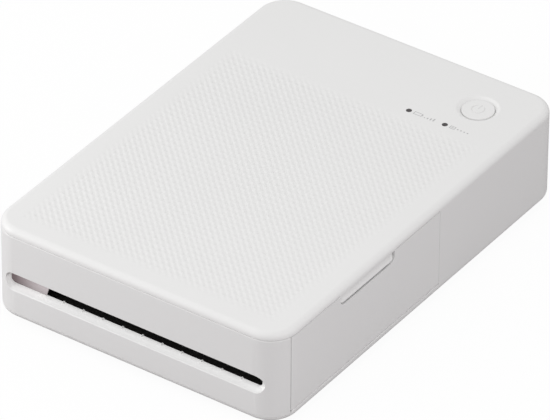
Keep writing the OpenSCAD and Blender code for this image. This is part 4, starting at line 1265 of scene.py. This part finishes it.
@dataclass
class CassetteDoor(Part):
    """Door with its notch, latch tabs, rolled lower edge and room for the hinge arms."""

    thickness: float = 1.8
    front_gap: float = 0.2
    back_gap: float = 0.12
    foot: float = 4.6
    roll: float = 1.4
    roll_foot: float = 4.65
    low_edge: float = 0.35
    top_lip: float = 0.5
    lip: float = 0.08
    notch_lip: float = 0.55
    notch_crisp: float = 1.3
    notch_rim: float = 0.55
    notch_step: float = 1.2
    notch_slack: float = 0.05
    notch_top: float = 0.3
    cut_depth: float = 4.0
    arm_room: float = 3.4
    arm_radius: float = 0.95
    arm_reach: float = 9.0
    tab_height: float = 2.0
    tab_foot: float = 27.5
    tab: Pair = (47.6, 49.6)
    tab_edge: float = 0.3

    def leaf(self, ends: Pair, hinge: Pair) -> Piece:
        """Adds the door's leaf with its rolled lower edge.

        Args:
            ends: Its front and back ends.
            hinge: Middle of the roll, in X and Z.

        Returns:
            The leaf.
        """
        form = self.form
        keep = form.across(*ends, self.foot, form.top_seam - form.seam, form.right - self.thickness,
                           form.right)
        Bench.round_edges(keep, lambda a, b: max(a.z, b.z) < self.foot + NEAR
                          and min(a.x, b.x) > form.right - NEAR, self.low_edge, 6)
        roll = Bench.rod((hinge[0], ends[0], hinge[1]), ends[1] - ends[0], self.roll, axis=Axis.Y,
                         sides=Sides.BUTTON)
        return Bench.keep(form.block(), Bench.add(keep, roll))

    def notch_cutters(self) -> list[Piece]:
        """Adds the finger notch, and the step behind it, as solids.

        Returns:
            Both solids.
        """
        form, inside = self.form, self.form.right - self.cut_depth
        (y0, y1), corner = form.notch, form.notch_corner
        notch = form.across(y0, y1, form.notch_bottom, x0=inside, x1=form.right + 2 * PAST)
        Bench.round_edges(notch, lambda a, b: abs(b.x - a.x) > PAST and a.z < form.height, corner, 10)
        return [notch, form.across(y0 + corner, y1 - corner, form.notch_bottom - self.notch_step,
                                   x0=inside, x1=form.right - self.notch_rim)]

    def arm_cutters(self, hinge: Pair) -> list[Piece]:
        """Adds the room that a hinge arm needs through the door's whole swing, as solids.

        Args:
            hinge: The axis that the door turns on, in X and Z.

        Returns:
            The solids for all arms.
        """
        (x, z), r, half, reach = hinge, self.arm_radius, self.arm_room / 2, self.arm_reach
        solids = (Bench.rod((x, -half, z), 2 * half, r, axis=Axis.Y),
                  Bench.box((x - reach, -half, z - reach), (x + r, half, z)),
                  Bench.box((x - reach, -half, z - reach), (x, half, z + r)))
        places = [(0, y) for y in self.form.arms]
        return [copy for solid in solids for copy in Bench.repeat(solid, places)]

    def tabs(self) -> list[Piece]:
        """Adds the latch tabs.

        Returns:
            The tabs.
        """
        (x0, x1), half = self.tab, self.form.latch_width / 2
        tab = Bench.box((x0, -half, self.tab_foot), (x1, half, self.tab_foot + self.tab_height))
        Bench.round_edges(tab, lambda a, b: max(a.x, b.x) < x0 + NEAR, self.tab_edge, 3)
        return Bench.repeat(tab, [(0, y) for y in self.form.latches])

    def build(self) -> Piece:
        """Builds the piece.

        Returns:
            The finished door.
        """
        form = self.form
        top = form.top_seam - form.seam
        hinge = (form.right - self.roll, self.roll_foot + self.roll)
        piece = self.leaf((form.split + self.front_gap, form.door_end - self.back_gap), hinge)
        Bench.cut(piece, *self.notch_cutters())
        form.lip(piece, lambda a, b: self.in_notch(a, b) and max(a.y, b.y) > form.notch[0] + self.notch_crisp,
                 self.notch_lip, 4)
        form.lip(piece, lambda a, b: min(a.z, b.z) > top - NEAR, self.top_lip, 4)
        form.lip(piece, lambda a, b: not self.in_notch(a, b) and abs(b.z - a.z) > PAST, self.lip)
        Bench.cut(piece, *self.arm_cutters(hinge))
        return Bench.finish(Bench.join(piece, *self.tabs()), "cassette_door_panel")

    def in_notch(self, a: Vector, b: Vector) -> bool:
        """Whether an edge belongs to the notch's rim."""
        form, slack, middle = self.form, self.notch_slack, (a + b) / 2
        return form.notch[0] - slack < middle.y < form.notch[1] + slack \
            and form.notch_bottom - slack < middle.z < form.top_seam - self.notch_top

    def fix(self, piece: Piece) -> None:
        """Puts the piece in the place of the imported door."""
        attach(piece, "door")
        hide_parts("cassette_door")


@dataclass
class BottomCase(Part):
    """Floor shell with the sill, rim, posts, hinge arms and runners."""

    sill: float = 4.5
    sill_edge: float = 0.3
    sill_lip: float = 0.27
    sill_groove: float = 4.15
    rim_gap: float = 0.1
    rim: float = 0.8
    rim_high: float = 4.9
    rim_end: float = 42.1
    rim_room: float = 4.0
    screw_well: float = 1.8
    screw_hole: float = 1.0
    well_depth: float = 1.2
    foot_hole: float = 4.05
    foot_depth: float = 0.6
    label_low: Pair = (-25.1, -5.1)
    label_high: Pair = (9.1, 17.1)
    label_depth: float = 0.3
    hinge: Pair = (49.7, 6.05)
    arm_width: float = 3.0
    arm_radius: float = 0.75
    arm_reach: float = 2.9
    arm_thickness: float = 1.4
    pin_hole: float = 0.45
    runners: Pair = (-52.9, -9.9)
    runner: tuple[float, float, float, float] = (-31.0, 41.0, 2.0, 3.9)
    lip: float = 0.1

    def arms(self) -> list[Piece]:
        """Adds the arms that carry the door's pins.

        Returns:
            The arms.
        """
        (x, z), r, half = self.hinge, self.arm_radius, self.arm_width / 2
        back = x - self.arm_reach
        arm = Bench.add(Bench.rod((x, -half, z), 2 * half, r, axis=Axis.Y),
                        Bench.box((back, -half, z - r), (x, half, z + r)),
                        Bench.box((back, -half, self.form.floor_top - SUNK),
                                  (back + self.arm_thickness, half, z + r)))
        Bench.cut(arm, Bench.rod((x, -half - PAST, z), 2 * (half + PAST), self.pin_hole, axis=Axis.Y,
                                 sides=Sides.HOLE))
        return Bench.repeat(arm, [(0, y) for y in self.form.arms])

    def holes(self) -> list[Piece]:
        """Adds the wells and holes of the screws and the seats of the feet, as solids.

        Returns:
            The solids.
        """
        form, start = self.form, self.form.foot - PAST
        return [*Bench.repeat(Bench.rod((0, 0, start), PAST + self.well_depth, self.screw_well), form.posts),
                *Bench.repeat(Bench.rod((0, 0, start), PAST + self.foot_depth, self.foot_hole,
                                        sides=Sides.FOOT), form.feet),
                Bench.box((*self.label_low, 0), (*self.label_high, form.foot + self.label_depth)),
                *Bench.repeat(self.screw_cutter(), form.posts)]

    def screw_cutter(self) -> Piece:
        """Adds the hole of a screw as a solid."""
        return Bench.rod((0, 0, 0), self.form.post_split + PAST, self.screw_hole, sides=Sides.HOLE)

    def inside(self) -> list[Piece]:
        """Adds the rim, the arms, the runners and the posts on the floor.

        Returns:
            The solids.
        """
        form, foot = self.form, self.form.floor_top - SUNK
        outside = form.wall + self.rim_gap
        rim = Bench.cut(form.inner(outside, foot, self.rim_high), form.inner(outside + self.rim),
                        form.across(form.split - self.rim_room, form.door_end + self.rim_room,
                                    x0=self.rim_end))
        x0, x1, width, top = self.runner
        runner = Bench.box((x0, 0, foot), (x1, width, top))
        post = Bench.cut(Bench.rod((0, 0, foot), form.post_split - foot, form.post_radius),
                         self.screw_cutter())
        return [rim, *self.arms(), *Bench.repeat(runner, [(0, y) for y in self.runners]),
                *Bench.repeat(post, form.posts)]

    def build(self) -> Piece:
        """Builds the piece.

        Returns:
            The finished floor.
        """
        form = self.form
        y0, y1 = form.split + form.seam, form.door_end - form.seam
        keep = form.across(z1=form.floor_top)
        for top, x0 in ((self.sill_groove, form.right - form.wall), (self.sill, form.right - self.sill_edge)):
            Bench.add(keep, form.across(y0, y1, form.wall, top, x0, form.right + PAST))
        piece = Bench.cut(Bench.keep(form.block(), keep), *self.holes())
        form.lip(piece, lambda a, b: min(a.z, b.z) > self.sill - NEAR, self.sill_lip, 4)
        form.lip(piece, lambda a, b: max(a.z, b.z) < self.sill_groove, self.lip)
        return Bench.finish(Bench.join(piece, *self.inside()), "bottom_case_shell")

    def fix(self, piece: Piece) -> None:
        """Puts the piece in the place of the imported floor."""
        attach(piece, "case")
        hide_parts("bottom_case")


@dataclass
class PowerButton(Part):
    """Round cap with a power sign pressed into it, on its flange and stem."""

    finish: str = "button_white"
    top: float = 32.52
    radius: float = 5.03
    edge: float = 0.35
    flange: Triple = (6.0, 30.2, 30.8)
    stem: Pair = (1.2, 29.45)
    stem_sunk: float = 0.1
    sign: float = 1.95
    line: float = 0.42
    gap: float = 36.0
    depth: float = 0.14
    stroke: Pair = (0.3, 2.4)

    def sign_cutter(self) -> Piece:
        """Adds an open ring and a short stroke, as a solid.

        Returns:
            The solid.
        """
        low, half = self.top - self.depth, self.line / 2
        ring = Bench.rod((0, 0, low), PAST, self.sign + half, sides=Sides.FOOT)
        gap = self.sign * math.sin(math.radians(self.gap))
        Bench.cut(ring, Bench.rod((0, 0, low - PAST), 3 * PAST, self.sign - half, sides=Sides.FOOT),
                  Bench.box((-gap, 0, low - PAST), (gap, 2 * self.sign, low + 2 * PAST)))
        return Bench.join(ring, Bench.box((-half, self.stroke[0], low), (half, self.stroke[1], low + PAST)))

    def build(self) -> Piece:
        """Builds the piece over the origin, and moves it to its place.

        Returns:
            The finished button.
        """
        (flange, low, high), (stem, foot) = self.flange, self.stem
        cap = Bench.rod((0, 0, low), self.top - low, self.radius, sides=Sides.BUTTON)
        Bench.round_edges(cap, lambda a, b: min(a.z, b.z) > self.top - NEAR, self.edge, 4)
        Bench.cut(cap, self.sign_cutter())
        Bench.add(cap, Bench.rod((0, 0, low), high - low, flange, sides=Sides.BUTTON))
        Bench.join(cap, Bench.rod((0, 0, foot), low - foot + self.stem_sunk, stem))
        return Bench.finish(*Bench.repeat(cap, [self.form.button]), "power_button_cap")

    def fix(self, piece: Piece) -> None:
        """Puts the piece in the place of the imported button."""
        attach(piece, "button")
        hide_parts("power_button")


@dataclass
class LightWindows(Part):
    """Two dark windows, each with a slightly rounded face, on their pipes."""

    finish: str = "light_smoke"
    radius: float = 0.9
    edge: float = 0.12
    foot: float = 28.1
    flange: Triple = (1.82, 30.1, 30.9)

    def build(self) -> Piece:
        """Builds both windows as one piece.

        Returns:
            The finished windows.
        """
        top, (wide, low, high) = self.form.height, self.flange
        pipe = Bench.rod((0, 0, self.foot), top - self.foot, self.radius, sides=Sides.WINDOW)
        Bench.round_edges(pipe, lambda a, b: min(a.z, b.z) > top - NEAR, self.edge, 3)
        Bench.add(pipe, Bench.rod((0, 0, low), high - low, wide, sides=Sides.WINDOW))
        return Bench.finish(Bench.join(*Bench.repeat(pipe, self.form.lights)), "light_windows")

    def fix(self, piece: Piece) -> None:
        """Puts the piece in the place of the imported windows."""
        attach(piece, "case")
        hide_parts("light_pipes")


@dataclass
class Pictograms(Part):
    """Pale grey signs printed beside the two lights: a battery with its level, and a sheet."""

    finish: str = "label_ink"
    slot: str = "plate_blank"
    ink: float = 0.012
    under: float = 0.1
    height: float = 1.4
    line: float = 0.24
    step: float = 0.004
    battery: Triple = (18.6, 42.5, 2.9)
    pole: Triple = (0.3, 0.3, 0.7)
    levels: int = 4
    level: Triple = (0.9, 1.0, 0.45)
    sheet: Triple = (31.3, 42.5, 1.9)
    picture: Triple = (0.5, 0.42, 0.6)
    dots: int = 4
    dot: Pair = (0.6, 1.15)

    def strip(self, x0: float, y0: float, x1: float, y1: float) -> Piece:
        """Adds a thin printed bar."""
        return Bench.box((x0, y0, self.form.height - self.under), (x1, y1, self.form.height + self.ink))

    def outline(self, x: float, y: float, width: float) -> list[Piece]:
        """Adds a printed frame of four bars that don't touch.

        Args:
            x: Its left side.
            y: Its front side.
            width: Its width.

        Returns:
            The bars.
        """
        t, right, back = self.line, x + width, y + self.height
        low, high = y + t + self.step, back - t - self.step
        return [self.strip(x, y, right, y + t), self.strip(x, back - t, right, back),
                self.strip(x, low, x + t, high), self.strip(right - t, low, right, high)]

    def build(self) -> Piece:
        """Builds the two signs as one piece.

        Returns:
            The finished signs.
        """
        t, h = self.line, self.height
        x, y, wide = self.battery
        right, (long, low, high) = x + wide, self.pole
        parts = [*self.outline(x, y, wide),
                 self.strip(right + self.step, y + h * low, right + long, y + h * high)]
        start, pitch, wide = self.level
        for k in range(self.levels):
            bar = right + start + k * pitch
            parts.append(self.strip(bar, y, bar + wide, y + h * (k + 1) / self.levels))
        x, y, wide = self.sheet
        inset, low, high = self.picture
        parts += [*self.outline(x, y, wide),
                  self.strip(x + inset, y + h * low, x + wide - inset, y + h * high)]
        (start, pitch), middle = self.dot, y + h / 2
        parts += Bench.repeat(self.strip(x + wide + start, middle - t, x + wide + start + 2 * t, middle + t),
                              [(k * pitch, 0) for k in range(self.dots)])
        return Bench.finish(Bench.join(*parts), "light_signs")

    def fix(self, piece: Piece) -> None:
        """Prints the signs on the case."""
        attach(piece, "case")


@dataclass
class RubberFeet(Part):
    """Four feet with a rounded tread edge and a shallow ring."""

    finish: str = "foot_rubber"
    radius: float = 4.0
    height: float = 2.3
    edge: float = 0.3
    edge_slack: float = 0.1
    ring: Pair = (2.4, 2.9)
    ring_depth: float = 0.2

    def build(self) -> Piece:
        """Builds the feet as one piece.

        Returns:
            The finished feet.
        """
        foot = Bench.rod((0, 0, 0), self.height, self.radius, sides=Sides.FOOT)
        inside, outside = (Bench.rod((0, 0, -PAST), PAST + self.ring_depth + past, radius, sides=Sides.FOOT)
                           for radius, past in zip(self.ring, (PAST, 0.0)))
        Bench.cut(foot, Bench.cut(outside, inside))
        Bench.round_edges(foot, lambda a, b: max(a.z, b.z) < NEAR
                          and math.hypot(a.x, a.y) > self.radius - self.edge_slack, self.edge, 4)
        return Bench.finish(Bench.join(*Bench.repeat(foot, self.form.feet)), "rubber_feet_treads")

    def fix(self, piece: Piece) -> None:
        """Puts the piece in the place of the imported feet."""
        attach(piece, "case")
        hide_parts("rubber_feet")


# ---------------------------------------------------------------- studio


@dataclass
class Studio:
    """Camera, floor, backdrop and soft light."""

    image: tuple[int, int] = (550, 420)
    sensor: float = 36.0
    azimuth: float = 34.759
    elevation: float = 35.490
    roll: float = 0.303
    distance: float = 2.014175
    target_height: float = 0.0165
    focal: float = 6874.91
    centre: Pair = (278.078, 206.021)
    view_end: float = 50.0
    floor_size: float = 6.0
    floor_tone: Triple = (0.422, 0.402, 0.412)
    floor_glow: float = 0.94
    key: float = 0.766
    key_place: Triple = (-0.384, -0.28, 0.16)
    key_size: float = 0.24
    side: float = 0.175
    side_tint: Triple = (1.0, 0.97, 0.99)
    side_place: Triple = (0.334, -0.165, 0.22)
    side_size: float = 0.16
    fill: float = 0.806

    def camera(self) -> None:
        """Sets the camera, whose lens and centre are given in points of the image."""
        data = bpy.data.cameras.new("camera")
        data.sensor_width = self.sensor
        data.sensor_fit = "HORIZONTAL"
        data.lens = self.focal * self.sensor / self.image[0]
        data.shift_x = -(self.centre[0] - self.image[0] / 2) / self.image[0]
        data.shift_y = (self.centre[1] - self.image[1] / 2) / self.image[0]
        data.clip_end = self.view_end
        a, e, r = (math.radians(v) for v in (self.azimuth, self.elevation, self.roll))
        back = Vector((math.sin(a) * math.cos(e), -math.cos(a) * math.cos(e), math.sin(e)))
        right = Vector((math.cos(a), math.sin(a), 0.0))
        up = back.cross(right)
        right, up = right * math.cos(r) + up * math.sin(r), up * math.cos(r) - right * math.sin(r)
        place = Vector((0, 0, self.target_height)) + back * self.distance
        camera = bpy.data.objects.new("camera", data)
        camera.matrix_world = Matrix.Translation(place) @ Matrix((right, up, back)).transposed().to_4x4()
        bpy.context.collection.objects.link(camera)
        bpy.context.scene.camera = camera

    def floor(self) -> None:
        """Adds a pale floor that shows white and keeps a faint shadow."""
        Bench.only(None)
        bpy.ops.mesh.primitive_plane_add(size=self.floor_size)
        floor = bpy.context.object
        floor.name = "floor"
        surface = Surface("floor")
        seen = surface.node("ShaderNodeLightPath", output="Is Camera Ray")
        matt = surface.node("ShaderNodeBsdfDiffuse", inputs={
            "Color": surface.mix(seen, self.floor_tone, WHITE_LIGHT)})
        glow = surface.node("ShaderNodeEmission", inputs={"Strength": 1.0})
        shade = surface.node("ShaderNodeMixShader", inputs={0: seen * self.floor_glow, 1: matt, 2: glow})
        surface.tree.nodes.remove(surface.tree.nodes["Principled BSDF"])
        surface.feed(surface.tree.nodes["Material Output"], {"Surface": shade})
        floor.data.materials.append(surface.material)

    def world(self) -> None:
        """Lights the room evenly, and shows white to the camera."""
        world = bpy.data.worlds.new("room")
        bpy.context.scene.world = world
        world.use_nodes = True
        room = Tree(world.node_tree)
        camera, clear = (room.node("ShaderNodeLightPath", output=f"Is {ray} Ray")
                         for ray in ("Camera", "Transmission"))
        level = room.node("ShaderNodeMapRange", inputs={
            "Value": camera.maths("MAXIMUM", clear), "To Min": self.fill, "To Max": 1.0})
        room.feed(room.tree.nodes["Background"], {"Color": WHITE_LIGHT, "Strength": level})

    def lamp(self, name: str, place: Place, size: float, power: float, tint: Triple) -> None:
        """Adds a square lamp that faces the middle of the floor.

        Args:
            name: Its name.
            place: Its place in metres.
            size: Its side in metres.
            power: Its power in watts.
            tint: Its colour.
        """
        data = bpy.data.lights.new(name, "AREA")
        data.color = tint
        data.shape = "SQUARE"
        data.size = size
        data.energy = power
        lamp = bpy.data.objects.new(name, data)
        spot = Vector(place)
        lamp.matrix_world = Matrix.Translation(spot) @ spot.to_track_quat("Z", "Y").to_matrix().to_4x4()
        lamp.visible_camera = False
        bpy.context.collection.objects.link(lamp)

    def build(self) -> None:
        """Sets up the studio."""
        self.camera()
        self.floor()
        self.world()
        self.lamp("key", self.key_place, self.key_size, self.key, WHITE_LIGHT[:3])
        self.lamp("side", self.side_place, self.side_size, self.side, self.side_tint)
        bpy.context.scene.view_settings.view_transform = "Standard"


# ---------------------------------------------------------------- assembly


def dress_packed_nodes() -> None:
    """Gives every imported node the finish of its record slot."""
    slots = {row["node"]: row["material_slot"] for row in frame["record"]["subparts"]}
    for name, node in frame["nodes"].items():
        for holder in node.material_slots:
            holder.material = material(slots[name])


def main() -> None:
    """Builds the studio and every piece in order."""
    logging.basicConfig(level=logging.INFO, format="%(name)s: %(message)s")
    Studio().build()
    dress_packed_nodes()
    form = CaseForm()
    for maker in (UpperCase(form), FrontPanel(form), SlotEndWall(form), CassetteDoor(form), BottomCase(form),
                  PowerButton(form), LightWindows(form), Pictograms(form), RubberFeet(form)):
        piece = maker.build()
        maker.dress(piece)
        LOG.info("%s: %d faces", piece.name, len(piece.data.polygons))
    Bench.only(None)


if __name__ == "__main__":
    main()
